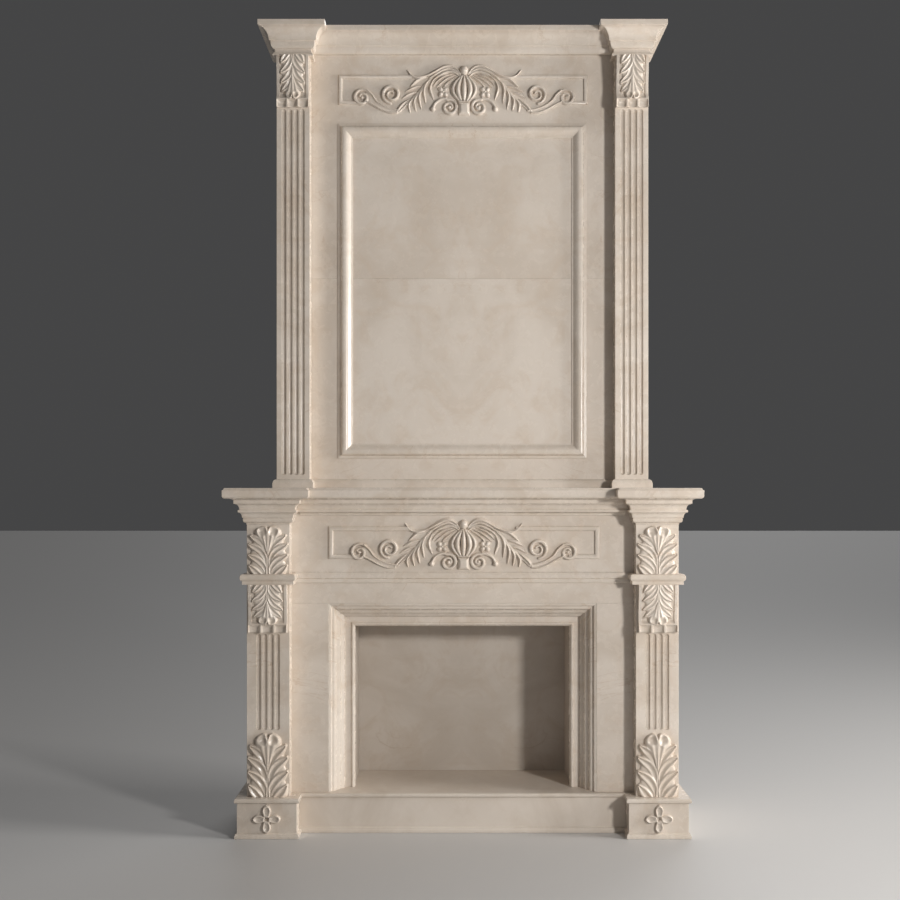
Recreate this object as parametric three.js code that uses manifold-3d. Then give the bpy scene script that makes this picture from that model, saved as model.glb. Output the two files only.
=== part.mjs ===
// A two-storey fireplace of cream marble, built up from separate stones.
// Millimetres, +Z up. X runs across the front, Y from the viewer back to the wall.
// Heights are above the floor. Depths are measured back from the face of the plinths.

import * as THREE from 'three';
import Module from 'manifold-3d';

const wasm = await Module();
wasm.setup();

// Driving dimensions

const JOINT = 0.3;
const SLAB = 30;

const HEARTH_TOP = 143;
const FIREBOX_TOP = 741;
const LINTEL_BOTTOM = 831;
const NECKING_BOTTOM = 905;
const NECKING_TOP = 943;
const SHELF_TOP = 1252;
const TOTAL_HEIGHT = 2954;

const WALL_PLANE = 450;
const LOWER_PILASTER_FACE = 33;
const LOWER_WALL_FACE = 91;
const HEARTH_FACE = 77;
const UPPER_PILASTER_FACE = 130;
const UPPER_WALL_FACE = 185;
const FIREBOX_BACK_FACE = 425;

const LOWER_PILASTER = { inner: 623, outer: 777 };
const PLINTH = { inner: 593, outer: 807 };
const UPPER_PILASTER = { inner: 562, outer: 684 };
const SIDE_SET_BACK = 20;

const OPENING_HALF_WIDTH = 398;
const FIREBOX_FRAME = { width: 91, recess: 80, depth: 110 };
const LINER_CLEARANCE = 4;

const FLUTES = { count: 4, pitch: 22.6, width: 17, depth: 8 };
const LOWER_FLUTE = { bottom: 381, top: 727 };
const UPPER_FLUTE = { bottom: 1300, top: 2646 };
const FOOT_LEAF = { height: 229, width: 142, lift: 15 };
const BLOCK_LEAF = { height: 170, width: 140, lift: 14 };

const LOWER_CONSOLE = { bottom: 734, width: 140, top: 26, waist: 14, foot: 24 };
const UPPER_CONSOLE = { bottom: 2650, width: 118, top: 24, waist: 13, foot: 22 };
const CONSOLE_BORDER = 11;
const CONSOLE_FIELD_DEPTH = 5;
const SCOOP = { count: 3, height: 27, depth: 11 };

const LOWER_PANEL = { halfWidth: 494, bottom: 993, top: 1113, bead: 18 };
const UPPER_PANEL = { halfWidth: 462, bottom: 2679, top: 2791, bead: 15 };
const BEAD_LIFT = 5;
const LARGE_FRAME = { halfWidth: 462, bottom: 1362, top: 2609, width: 54, lift: 20 };
const SLAB_SEAM = 2032;

const MARBLE = 0xe3d6c4;
const SINK = 2;

// Solids and cuts

function outward(geometry) {
  const at = geometry.getAttribute('position');
  const index = geometry.getIndex();
  const [a, b, c] = [new THREE.Vector3(), new THREE.Vector3(), new THREE.Vector3()];
  let volume = 0;
  for (let i = 0; i < index.count; i += 3) {
    a.fromBufferAttribute(at, index.getX(i));
    b.fromBufferAttribute(at, index.getX(i + 1));
    c.fromBufferAttribute(at, index.getX(i + 2));
    volume += a.dot(b.cross(c));
  }
  if (volume < 0) {
    index.array.reverse();
  }
  return geometry;
}

function geometryOf(positions, index) {
  const geometry = new THREE.BufferGeometry();
  geometry.setAttribute('position', new THREE.Float32BufferAttribute(positions, 3));
  geometry.setIndex(index);
  return outward(geometry);
}

// Joins rings of equal length into one closed solid; the ring may be any simple outline.
function loft(rings, outline) {
  const count = rings[0].length;
  const index = [];
  for (let r = 0; r + 1 < rings.length; r += 1) {
    for (let i = 0; i < count; i += 1) {
      const next = (i + 1) % count;
      const [a, b] = [r * count + i, r * count + next];
      index.push(a, b, b + count, a, b + count, a + count);
    }
  }
  const last = (rings.length - 1) * count;
  const turnsLeft = THREE.ShapeUtils.area(outline) > 0;
  for (const face of THREE.ShapeUtils.triangulateShape(outline, [])) {
    const sameTurn = (THREE.ShapeUtils.area(face.map((i) => outline[i])) > 0) === turnsLeft;
    const [a, b, c] = sameTurn ? face : [...face].reverse();
    index.push(a, c, b);
    index.push(last + a, last + b, last + c);
  }
  return geometryOf(rings.flat(2), index);
}

function outlineOf(points) {
  return points.map(([u, v]) => new THREE.Vector2(u, v));
}

function solidOf(geometry) {
  return new wasm.Manifold(new wasm.Mesh({
    numProp: 3,
    vertProperties: new Float32Array(geometry.getAttribute('position').array),
    triVerts: new Uint32Array(geometry.getIndex().array),
  }));
}

function geometryFrom(solid) {
  const mesh = solid.getMesh();
  return geometryOf(Array.from(mesh.vertProperties), Array.from(mesh.triVerts));
}

function joined(base, parts) {
  return geometryFrom(parts.reduce((whole, part) => whole.add(solidOf(part)), solidOf(base)));
}

function cut(base, cutters) {
  return geometryFrom(cutters.reduce((rest, part) => rest.subtract(solidOf(part)), solidOf(base)));
}

// Carving that is trimmed to the face it belongs to
function trimmed([first, ...others], limits) {
  const whole = others.reduce((sum, part) => sum.add(solidOf(part)), solidOf(first));
  return geometryFrom(whole.intersect(solidOf(block(...limits))));
}

function mirrored(geometry) {
  const copy = geometry.clone();
  copy.scale(-1, 1, 1);
  return outward(copy);
}

function block(x0, x1, y0, y1, z0, z1) {
  const corners = [z0, z1].map((z) => [[x0, y0, z], [x1, y0, z], [x1, y1, z], [x0, y1, z]]);
  return loft(corners, outlineOf([[0, 0], [1, 0], [1, 1], [0, 1]]));
}

// Moulding outlines, written from the top down as [overhang, height]

const QUARTER = Math.PI / 2;

function hollow([o0, z0], [o1, z1], steps) {
  return Array.from({ length: steps + 1 }, (_, i) => {
    const turn = (i / steps) * QUARTER;
    return [o0 + (o1 - o0) * Math.sin(turn), z0 + (z1 - z0) * (1 - Math.cos(turn))];
  });
}

function round([o0, z0], [o1, z1], steps) {
  return Array.from({ length: steps + 1 }, (_, i) => {
    const turn = (i / steps) * QUARTER;
    return [o0 + (o1 - o0) * (1 - Math.cos(turn)), z0 + (z1 - z0) * Math.sin(turn)];
  });
}

function below(top, outline) {
  return outline.map(([overhang, drop]) => [overhang, top - drop]);
}

const shelfEdge = below(SHELF_TOP, [
  [65, 0], [73, 2], [76, 8], [76, 26], [72, 34], [64, 38],
  ...hollow([58, 38.5], [41, 46], 2),
  [41, 56],
  ...hollow([36, 58], [23, 78], 3),
  [28, 80], [28, 87],
]);
const shelfNeck = below(SHELF_TOP, [...hollow([26, 87.6], [6, 116], 3), [1, 131.5]]);

const corniceEdge = below(TOTAL_HEIGHT, [
  [61, 0], [61, 18],
  ...hollow([57, 20], [25.5, 62], 4),
  [20, 64],
  ...round([20, 65], [9, 89], 3),
]);
const corniceNeck = below(TOTAL_HEIGHT, [[6, 101], [12, 103], [13.5, 106], [13.5, 112], [11, 116]]);

const plinthEdge = [
  [6, HEARTH_TOP], [9, 139], [9, 129], [6, 125.5], [0, 124],
  [0, 18], [6, 15], [8, 10], [8, 2], [7, 0],
];
const hearthEdge = [
  [6, HEARTH_TOP], [9, 140.5], [9, 132], [6, 129], [0, 128],
  [0, 20], [6, 17], [8, 11], [8, 2], [7, 0],
];
const neckingEdge = [
  [15, NECKING_TOP - JOINT], [20, 938], [22, 930], [22, 923], [20, 919.5],
  [16, 918], [16, 907], [14, NECKING_BOTTOM + JOINT],
];
const stringEdge = [
  [2, NECKING_TOP + 2], [6, 941], [6, 924], [1, 921.5], [4, 919], [4, 908], [1, NECKING_BOTTOM + JOINT],
];
const baseEdge = [...hollow([0, SHELF_TOP + 32], [14, SHELF_TOP + 19], 3), [14, SHELF_TOP + JOINT]];

// A block whose moulding breaks round it: sides is +1 where a side carries the moulding outwards,
// 0 where it is sawn plain, and -1 where it is mitred back against a neighbour's moulding.
function mouldedBlock({ left, right, face, back, edge, sides }) {
  const rings = edge.map(([overhang, z]) => [
    [left - overhang * sides[0], back, z],
    [left - overhang * sides[0], face - overhang, z],
    [right + overhang * sides[1], face - overhang, z],
    [right + overhang * sides[1], back, z],
  ]);
  return loft(rings, outlineOf([[0, 1], [0, 0], [1, 0], [1, 1]]));
}

// Carving: ridges that follow a path over a face. Path points are [x, z].

function smoothPath(points, steps) {
  const curve = new THREE.SplineCurve(points.map(([x, z]) => new THREE.Vector2(x, z)));
  return curve.getSpacedPoints(steps).map((p) => [p.x, p.y]);
}

function ridge({ path, width, lift, ground, crest = 0 }) {
  const last = path.length - 1;
  const rings = path.map(([x, z], i) => {
    const before = path[Math.max(i - 1, 0)];
    const after = path[Math.min(i + 1, last)];
    const run = Math.hypot(after[0] - before[0], after[1] - before[1]);
    const [nx, nz] = [-(after[1] - before[1]) / run, (after[0] - before[0]) / run];
    const half = width(i / last) / 2;
    const face = ground(z);
    const foot = (side) => [x + nx * half * side, face + SINK, z + nz * half * side];
    const top = (side) => [
      x + nx * half * side * crest, face - lift(i / last), z + nz * half * side * crest,
    ];
    return crest > 0 ? [foot(-1), top(-1), top(1), foot(1)] : [foot(-1), top(0), foot(1)];
  });
  const outline = crest > 0 ? [[-1, 0], [-0.5, 1], [0.5, 1], [1, 0]] : [[-1, 0], [0, 1], [1, 0]];
  return loft(rings, outlineOf(outline));
}

function swelling(widest, ends) {
  return (t) => ends + (widest - ends) * Math.sin(Math.PI * (0.12 + 0.76 * t));
}

// A dome of rings on a face: a ball, an egg or a petal, flat at the back. Notch draws in every
// other corner, so that eight sides make a rosette of four petals.
function boss({ x, z, halfWidth, halfHeight, lift, ground, sides = 6, turn = 0, notch = 0 }) {
  const face = ground(z);
  const corners = Array.from({ length: sides }, (_, i) => {
    const angle = (i / sides) * 2 * Math.PI;
    const reach = 1 - notch * (i % 2);
    return [Math.cos(angle) * reach, Math.sin(angle) * reach];
  });
  const rings = [[1, -SINK / lift], [0.55, 1]].map(([spread, rise]) => corners.map(([cos, sin]) => {
    const [u, v] = [cos * halfWidth * spread, sin * halfHeight * spread];
    return [
      x + u * Math.cos(turn) - v * Math.sin(turn),
      face - lift * rise,
      z + u * Math.sin(turn) + v * Math.cos(turn),
    ];
  }));
  return loft(rings, outlineOf(corners));
}

// A pointed leaf with one crest, from its start past a bend to its tip
function blade([start, bend, tip], width, lift, ground) {
  const run = Math.hypot(tip[0] - start[0], tip[1] - start[1]);
  const [nx, nz] = [-(tip[1] - start[1]) / run, (tip[0] - start[0]) / run];
  const half = width / 2;
  const low = ([x, z], side = 0) => [x + nx * side * half, ground(z) + SINK, z + nz * side * half];
  const crest = [bend[0], ground(bend[1]) - lift, bend[1]];
  const points = [low(start), low(bend, 1), low(tip), low(bend, -1), crest];
  return geometryOf(points.flat(), [0, 1, 4, 1, 2, 4, 2, 3, 4, 3, 0, 4, 0, 3, 1, 1, 3, 2]);
}

// Acanthus leaf with a midrib, four pairs of lobes that bend outwards and a cleft, rounded tip.
// grows is +1 for an upright leaf and -1 for one that hangs.
const LOBE_PAIRS = 4;

function acanthus({ x, start, height, width, lift, ground, grows }) {
  const place = ([u, v]) => [x + u * width, start + grows * v * height];
  const parts = [];
  for (let pair = 0; pair < LOBE_PAIRS; pair += 1) {
    const root = 0.02 + 0.145 * pair;
    const tip = 0.20 + 0.185 * pair;
    const reach = 0.47 - 0.022 * pair * pair * 0.5;
    for (const side of [-1, 1]) {
      const points = [[side * 0.02, root], [side * 0.29, (root + tip) * 0.56], [side * reach, tip]];
      parts.push(blade(points.map(place), 0.25 * width, lift * 0.85, ground));
    }
  }
  for (const side of [-1, 1]) {
    parts.push(boss({
      x: x + side * 0.15 * width,
      z: start + grows * 0.84 * height,
      halfWidth: 0.16 * width,
      halfHeight: 0.155 * height,
      lift,
      ground,
      sides: 5,
      turn: QUARTER * grows - side * grows * 0.25,
    }));
  }
  parts.push(ridge({
    path: [[0, 0.01], [0, 0.8]].map(place),
    width: (t) => width * (0.34 - 0.16 * t),
    lift: () => lift * 0.62,
    ground,
  }));
  return parts;
}

// Pilaster flutes as cutters with tapered ends
function flutes(centre, face, { bottom, top }) {
  const section = (reach) => [
    [-0.5, -SINK], [-0.5, 0], [-0.24, 1], [0.24, 1], [0.5, 0], [0.5, -SINK],
  ].map(([u, v]) => [u * FLUTES.width * reach, v > 0 ? v * FLUTES.depth * reach : v]);
  const taper = FLUTES.width * 0.4;
  const stops = [[bottom, 0.5], [bottom + taper, 1], [top - taper, 1], [top, 0.5]];
  return Array.from({ length: FLUTES.count }, (_, i) => {
    const x = centre + (i - (FLUTES.count - 1) / 2) * FLUTES.pitch;
    const rings = stops.map(([z, reach]) => section(reach).map(([u, v]) => [x + u, face + v, z]));
    return loft(rings, outlineOf(section(1)));
  });
}

const middle = ({ inner, outer }) => (inner + outer) / 2;
const lowerFace = () => LOWER_PILASTER_FACE;

// Plinth block: moulded on the front and the outer side, and on the inner side up to the hearth
function plinth() {
  const whole = mouldedBlock({
    left: PLINTH.inner,
    right: PLINTH.outer,
    face: 0,
    back: WALL_PLANE,
    edge: plinthEdge,
    sides: [1, 1],
  });
  const hearthSide = block(
    PLINTH.inner - 40, PLINTH.inner, HEARTH_FACE - 9 - JOINT, WALL_PLANE + 1, -1, HEARTH_TOP + 1,
  );
  return joined(cut(whole, [hearthSide]), quatrefoil());
}

const QUATREFOIL = { z: 71, petal: 50, halfWidth: 19, lift: 9 };

// Four pointed petals with raised rims round a hollow, in a cross
function quatrefoil() {
  const outline = [[0.1, 0], [0.42, 0.9], [0.68, 0.85], [1, 0]];
  const closed = [...outline, ...outline.slice(1, -1).reverse().map(([u, v]) => [u, -v])];
  const steps = [[1, -SINK], [0.82, QUATREFOIL.lift], [0.42, 3]];
  return [0, 1, 2, 3].map((quarter) => {
    const turn = quarter * QUARTER;
    const rings = steps.map(([spread, rise]) => closed.map(([u, v]) => {
      const along = (0.55 + (u - 0.55) * spread) * QUATREFOIL.petal;
      const across = v * spread * QUATREFOIL.halfWidth;
      return [
        middle(PLINTH) + along * Math.cos(turn) - across * Math.sin(turn),
        -rise,
        QUATREFOIL.z + along * Math.sin(turn) + across * Math.cos(turn),
      ];
    }));
    return loft(rings, outlineOf(closed));
  });
}

function hearth() {
  return mouldedBlock({
    left: -PLINTH.inner + JOINT,
    right: PLINTH.inner - JOINT,
    face: HEARTH_FACE,
    back: WALL_PLANE,
    edge: hearthEdge,
    sides: [0, 0],
  });
}

// The space on the front of the lower pilaster that a leaf may fill
const LEAF_ROOM = { front: 60, behind: 10 };

function leafRoom(bottom, top) {
  const { inner, outer } = LOWER_PILASTER;
  return [
    inner, outer, LOWER_PILASTER_FACE - LEAF_ROOM.front, LOWER_PILASTER_FACE + LEAF_ROOM.behind, bottom, top,
  ];
}

function lowerPilaster() {
  const centre = middle(LOWER_PILASTER);
  const shaft = block(
    LOWER_PILASTER.inner, LOWER_PILASTER.outer,
    LOWER_PILASTER_FACE, LOWER_WALL_FACE - JOINT,
    HEARTH_TOP + JOINT, NECKING_BOTTOM,
  );
  const leaf = acanthus({
    x: centre, start: HEARTH_TOP, ...FOOT_LEAF, ground: lowerFace, grows: 1,
  });
  const carved = trimmed(leaf, leafRoom(HEARTH_TOP + JOINT, NECKING_BOTTOM));
  return joined(cut(shaft, flutes(centre, LOWER_PILASTER_FACE, LOWER_FLUTE)), [carved]);
}

// Console: a bracket that sweeps in to a waist and out to a scooped foot, with a sunk field
// between two borders and a leaf hanging in it
function consoleBracket({ centre, face, top, shape }) {
  const height = top - shape.bottom;
  const sweep = (z) => {
    const t = (top - z) / height;
    const waistAt = 0.72;
    const ease = (s) => 0.5 - 0.5 * Math.cos(Math.PI * s);
    return t < waistAt
      ? shape.top + (shape.waist - shape.top) * ease(t / waistAt)
      : shape.waist + (shape.foot - shape.waist) * ease(Math.min((t - waistAt) / 0.14, 1));
  };
  const levels = [0, 0.24, 0.48, 0.72, 0.86, 1].map((t) => top - t * height);
  const slice = (left, right, sink, back, heights) => loft(
    heights.map((z) => [
      [left, back, z],
      [left, face - sweep(z) + sink, z],
      [right, face - sweep(z) + sink, z],
      [right, back, z],
    ]),
    outlineOf([[0, 1], [0, 0], [1, 0], [1, 1]]),
  );
  const half = shape.width / 2;
  const body = slice(centre - half, centre + half, 0, face - JOINT, levels);
  const fieldHalf = half - CONSOLE_BORDER;
  const fieldLevels = [top + 1, ...levels.slice(1, 4), shape.bottom + SCOOP.height + 4];
  const field = loft(
    fieldLevels.map((z) => [
      [centre - fieldHalf, face - 60, z], [centre + fieldHalf, face - 60, z],
      [centre + fieldHalf, face - sweep(Math.min(z, top)) + CONSOLE_FIELD_DEPTH, z],
      [centre - fieldHalf, face - sweep(Math.min(z, top)) + CONSOLE_FIELD_DEPTH, z],
    ]),
    outlineOf([[0, 0], [1, 0], [1, 1], [0, 1]]),
  );
  const pitch = shape.width / SCOOP.count;
  const scoopRing = (x, z, reach) => [
    [-0.44, -20], [-0.44, 0], [-0.2, 1], [0.2, 1], [0.44, 0], [0.44, -20],
  ].map(([u, v]) => [
    x + u * pitch * reach, face - shape.foot + (v > 0 ? v * SCOOP.depth * reach : v), z,
  ]);
  const scoops = Array.from({ length: SCOOP.count }, (_, i) => {
    const x = centre + (i - (SCOOP.count - 1) / 2) * pitch;
    const stops = [[shape.bottom - 1, 1], [shape.bottom + SCOOP.height, 0.6]];
    const rings = stops.map(([z, reach]) => scoopRing(x, z, reach));
    return loft(rings, outlineOf(rings[0].map(([u, v]) => [u, v])));
  });
  const leaf = acanthus({
    x: centre,
    start: top - 3,
    height: height - SCOOP.height - 8,
    width: fieldHalf * 2,
    lift: 12,
    ground: (z) => face - sweep(z) + CONSOLE_FIELD_DEPTH,
    grows: -1,
  });
  const room = [
    centre - fieldHalf, centre + fieldHalf, face - 60, face - 1, shape.bottom + SCOOP.height, top,
  ];
  return joined(cut(body, [field, ...scoops]), [trimmed(leaf, room)]);
}

function lowerConsole() {
  return consoleBracket({
    centre: middle(LOWER_PILASTER), face: LOWER_PILASTER_FACE, top: NECKING_BOTTOM, shape: LOWER_CONSOLE,
  });
}

function neckingBand() {
  return mouldedBlock({
    left: LOWER_PILASTER.inner,
    right: LOWER_PILASTER.outer,
    face: LOWER_PILASTER_FACE,
    back: LOWER_WALL_FACE - JOINT,
    edge: neckingEdge,
    sides: [1, 1],
  });
}

const CAPITAL_BOTTOM = SHELF_TOP - 131.5;

function leafBlock() {
  const stone = block(
    LOWER_PILASTER.inner, LOWER_PILASTER.outer,
    LOWER_PILASTER_FACE, LOWER_WALL_FACE - JOINT,
    NECKING_TOP, CAPITAL_BOTTOM - JOINT,
  );
  const leaf = acanthus({
    x: middle(LOWER_PILASTER), start: NECKING_TOP, ...BLOCK_LEAF, ground: lowerFace, grows: 1,
  });
  return joined(stone, [trimmed(leaf, leafRoom(NECKING_TOP, CAPITAL_BOTTOM - JOINT))]);
}

const SHELF_UNDERSIDE = SHELF_TOP - 87;

function shelfCapital() {
  const whole = mouldedBlock({
    left: LOWER_PILASTER.inner,
    right: LOWER_PILASTER.outer,
    face: LOWER_PILASTER_FACE,
    back: WALL_PLANE,
    edge: [...shelfEdge, ...shelfNeck],
    sides: [1, 1],
  });
  const behindNeck = block(
    LOWER_PILASTER.inner - 60, LOWER_PILASTER.outer + 60,
    LOWER_WALL_FACE - JOINT, WALL_PLANE + 1, CAPITAL_BOTTOM - 1, SHELF_UNDERSIDE,
  );
  return cut(whole, [behindNeck]);
}

function shelfCenter() {
  return mouldedBlock({
    left: -LOWER_PILASTER.inner + JOINT,
    right: LOWER_PILASTER.inner - JOINT,
    face: LOWER_WALL_FACE,
    back: WALL_PLANE,
    edge: shelfEdge,
    sides: [-1, -1],
  });
}

// The beaded border of a panel: four mitred half-rounds that stop behind the ornament
function beadedPanel({ halfWidth, bottom, top, bead }, face) {
  const rect = (inset, y) => [
    [-halfWidth + inset, y, bottom + inset], [halfWidth - inset, y, bottom + inset],
    [halfWidth - inset, y, top - inset], [-halfWidth + inset, y, top - inset],
  ];
  const rings = [
    rect(0, face + SINK), rect(bead * 0.25, face - BEAD_LIFT),
    rect(bead * 0.75, face - BEAD_LIFT), rect(bead, face + SINK),
  ];
  const index = [];
  for (let r = 0; r < 4; r += 1) {
    for (let i = 0; i < 4; i += 1) {
      const [a, b] = [r * 4 + i, r * 4 + ((i + 1) % 4)];
      const [c, d] = [((r + 1) % 4) * 4 + i, ((r + 1) % 4) * 4 + ((i + 1) % 4)];
      index.push(a, b, d, a, d, c);
    }
  }
  return geometryOf(rings.flat(2), index);
}

// Frieze ornament, laid out to the right of its axis about the middle of the beaded panel
const ORNAMENT = { lift: 12, knobLift: 17 };

function spiral({ x, z, radius, eye, from, turns, steps }) {
  return Array.from({ length: steps + 1 }, (_, i) => {
    const t = i / steps;
    const angle = from + t * turns * 2 * Math.PI;
    const r = radius + (eye - radius) * t ** 0.8;
    return [x + r * Math.cos(angle), z + r * Math.sin(angle)];
  });
}

function scrollBand(path, width, ends = 5) {
  return { path, width: swelling(width, ends), lift: swelling(ORNAMENT.lift, 6) };
}

function ornamentRidges() {
  const list = [];
  const largeScroll = spiral({
    x: 271, z: -22, radius: 31, eye: 6, from: -1.35, turns: 1.35, steps: 7,
  });
  const largeStem = smoothPath([[212, -46], [228, -58], [250, -63]], 2);
  list.push(scrollBand([...largeStem, ...largeScroll], 10));
  const farScroll = spiral({
    x: 381, z: -33, radius: 30, eye: 6, from: 1.9, turns: -1.3, steps: 6,
  });
  const farStem = smoothPath([[268, -68], [293, -60], [322, -44], [346, -20]], 3);
  list.push(scrollBand([...farStem, ...farScroll], 9));
  list.push(scrollBand(smoothPath([[238, -90], [270, -91], [300, -82], [332, -64], [362, -47]], 2), 8));
  const innerScroll = spiral({
    x: 55, z: -74, radius: 23, eye: 5, from: 1.7, turns: -1.25, steps: 6,
  });
  const innerStem = smoothPath([[111, -66], [96, -45], [74, -38]], 2);
  list.push(scrollBand([...innerStem, ...innerScroll], 9));
  list.push({
    path: smoothPath([
      [16, 64], [38, 82], [62, 86], [96, 72], [126, 54], [152, 44], [178, 46], [198, 56], [212, 75],
    ], 6),
    width: swelling(19, 4),
    lift: swelling(ORNAMENT.lift, 3),
  });
  list.push({
    path: smoothPath([[110, 48], [148, 26], [170, -2], [196, -34], [236, -76]], 3),
    width: () => 9,
    lift: () => 6,
  });
  return list;
}

// Long leaves that spring from the curved stem: each has a start, a bend and a tip
function sprayLeaves() {
  const leaves = [];
  for (let i = 0; i < 3; i += 1) {
    leaves.push([[44 + 22 * i, 68 - i], [66 + 18 * i, 40 - 2 * i], [92 + 13 * i, 14 + 6 * i]]);
  }
  for (let i = 0; i < 6; i += 1) {
    const x = 122 + 17 * i;
    const z = 36 - 19.5 * i;
    leaves.push([[x, z], [x + 6 - i, z - 38 + 3 * i], [x - 7, z - 74 + 9.5 * i]]);
  }
  for (let i = 0; i < 3; i += 1) {
    const x = 146 + 18 * i;
    const z = 38 - 26 * i;
    leaves.push([[x, z], [x + 26, z - 8], [x + 52 - 4 * i, z - 26 + 9 * i]]);
  }
  return leaves;
}

const LEAF = { width: 15, lift: 11 };
const URN = { top: 50, bottom: -46, gadroons: 5 };

function urnHalfWidth(v) {
  const t = (v - URN.bottom) / (URN.top - URN.bottom);
  return 24 * (1 - t) + 8 * t + 34 * Math.sin(Math.PI * t ** 0.85);
}

function ornament(centreZ, face) {
  const ground = () => face;
  const place = ([x, z], side) => [x * side, z + centreZ];
  const parts = [];
  for (const side of [-1, 1]) {
    for (const shape of ornamentRidges()) {
      parts.push(ridge({ ...shape, path: shape.path.map((p) => place(p, side)), ground }));
    }
    for (const leaf of sprayLeaves()) {
      parts.push(blade(leaf.map((p) => place(p, side)), LEAF.width, LEAF.lift, ground));
    }
    const ball = place([109, -75], side);
    parts.push(boss({ x: ball[0], z: ball[1], halfWidth: 9, halfHeight: 9, lift: 11, ground, sides: 5 }));
    const rosette = place([74, -7], side);
    parts.push(boss({
      x: rosette[0], z: rosette[1], halfWidth: 19, halfHeight: 19, lift: 8, ground,
      sides: 8, turn: QUARTER / 2, notch: 0.45,
    }));
  }
  const urnSpan = URN.top - URN.bottom;
  for (let i = 0; i < URN.gadroons; i += 1) {
    const share = (2 * (i - (URN.gadroons - 1) / 2)) / URN.gadroons;
    const path = Array.from({ length: 4 }, (_, k) => {
      const v = URN.bottom + (urnSpan * k) / 3;
      return [share * urnHalfWidth(v), v + centreZ];
    });
    parts.push(ridge({
      path,
      width: (t) => urnHalfWidth(URN.bottom + urnSpan * t) * 0.42,
      lift: (t) => ORNAMENT.lift * (1 - 0.35 * Math.abs(share)) * (0.8 + 0.5 * Math.sin(Math.PI * t)),
      ground,
    }));
  }
  parts.push(boss({
    x: 0, z: centreZ + 70, halfWidth: 17, halfHeight: 20, lift: ORNAMENT.knobLift, ground,
  }));
  parts.push(ridge({
    path: [[0, centreZ - 93], [0, centreZ - 82], [0, centreZ - 52], [0, centreZ - 44]],
    width: (t) => 40 - 10 * Math.sin(Math.PI * t),
    lift: () => ORNAMENT.lift,
    ground,
    crest: 0.6,
  }));
  return parts;
}

const LOWER_CARCASS = LOWER_PILASTER.outer - SIDE_SET_BACK;
const UPPER_CARCASS = UPPER_PILASTER.outer - SIDE_SET_BACK;
const STRING_TOP = NECKING_TOP + 2;

function friezeLower() {
  const slab = block(
    -LOWER_CARCASS, LOWER_CARCASS, LOWER_WALL_FACE, LOWER_WALL_FACE + SLAB,
    STRING_TOP + JOINT, SHELF_UNDERSIDE - JOINT,
  );
  const centreZ = (LOWER_PANEL.bottom + LOWER_PANEL.top) / 2;
  return joined(slab, [beadedPanel(LOWER_PANEL, LOWER_WALL_FACE), ...ornament(centreZ, LOWER_WALL_FACE)]);
}

// A course that is moulded between two neighbours and runs on plain behind them
function courseBetween({ half, carcass, face, edge }) {
  const moulded = mouldedBlock({
    left: -half, right: half, face, back: face + SLAB, edge, sides: [0, 0],
  });
  const top = edge[0][1];
  const bottom = edge[edge.length - 1][1];
  return joined(moulded, [block(-carcass, carcass, face, face + SLAB, bottom, top)]);
}

function stringCourse() {
  return courseBetween({
    half: LOWER_PILASTER.inner - 22 - JOINT, carcass: LOWER_CARCASS, face: LOWER_WALL_FACE, edge: stringEdge,
  });
}

function overmantelBase() {
  return courseBetween({
    half: UPPER_PILASTER.inner - 14 - JOINT, carcass: UPPER_CARCASS, face: UPPER_WALL_FACE, edge: baseEdge,
  });
}

function surroundLintel() {
  return block(
    -LOWER_CARCASS, LOWER_CARCASS, LOWER_WALL_FACE, LOWER_WALL_FACE + SLAB,
    LINTEL_BOTTOM + JOINT, NECKING_BOTTOM,
  );
}

const FRAME_OUTER = OPENING_HALF_WIDTH + FIREBOX_FRAME.width;

function surroundJamb() {
  return block(
    FRAME_OUTER + JOINT, LOWER_CARCASS, LOWER_WALL_FACE, LOWER_WALL_FACE + SLAB,
    HEARTH_TOP + JOINT, LINTEL_BOTTOM,
  );
}

// Frame members are mitred at the corners of a rectangle. Their section is [inset, depth], inset
// from the outer edge inwards and depth behind the face they are set in.
function frameMember({ side, halfWidth, bottom, top, face, section, squareFoot = false }) {
  const lowEnd = (inset) => (squareFoot ? bottom : bottom + inset);
  const ends = {
    left: (w) => [[-halfWidth + w, lowEnd(w)], [-halfWidth + w, top - w]],
    right: (w) => [[halfWidth - w, lowEnd(w)], [halfWidth - w, top - w]],
    top: (w) => [[-halfWidth + w, top - w], [halfWidth - w, top - w]],
    bottom: (w) => [[-halfWidth + w, bottom + w], [halfWidth - w, bottom + w]],
  }[side];
  const upright = side === 'left' || side === 'right';
  const away = upright ? [0, -JOINT] : [JOINT, -JOINT];
  const rings = [0, 1].map((end) => section.map(([w, depth]) => {
    const [x, z] = ends(w)[end];
    return upright ? [x, face + depth, z + away[end]] : [x + away[end], face + depth, z];
  }));
  return loft(rings, outlineOf(section));
}

const fireboxSection = [
  [0, 0], [15, 5], [17, 20], [25, 20],
  ...hollow([28, 22], [33, 38], 2),
  [43, 40], [50, 60], [56, 76],
  [58, 70], [62, 67], [66, 70],
  [69, 76], [86, 76], [FIREBOX_FRAME.width, FIREBOX_FRAME.recess],
  [FIREBOX_FRAME.width, FIREBOX_FRAME.depth], [0, FIREBOX_FRAME.depth],
];

function fireboxFrame(side) {
  return frameMember({
    side,
    halfWidth: FRAME_OUTER,
    bottom: HEARTH_TOP + JOINT,
    top: LINTEL_BOTTOM,
    face: LOWER_WALL_FACE,
    section: fireboxSection,
    squareFoot: true,
  });
}

const largeFrameSection = [
  [0, -JOINT], [0, -5], [9, -6],
  ...round([13, -14], [27, -LARGE_FRAME.lift], 2),
  [34, -18.5], [42, -12], [48, -5], [54, -3], [54, -JOINT],
];

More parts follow.
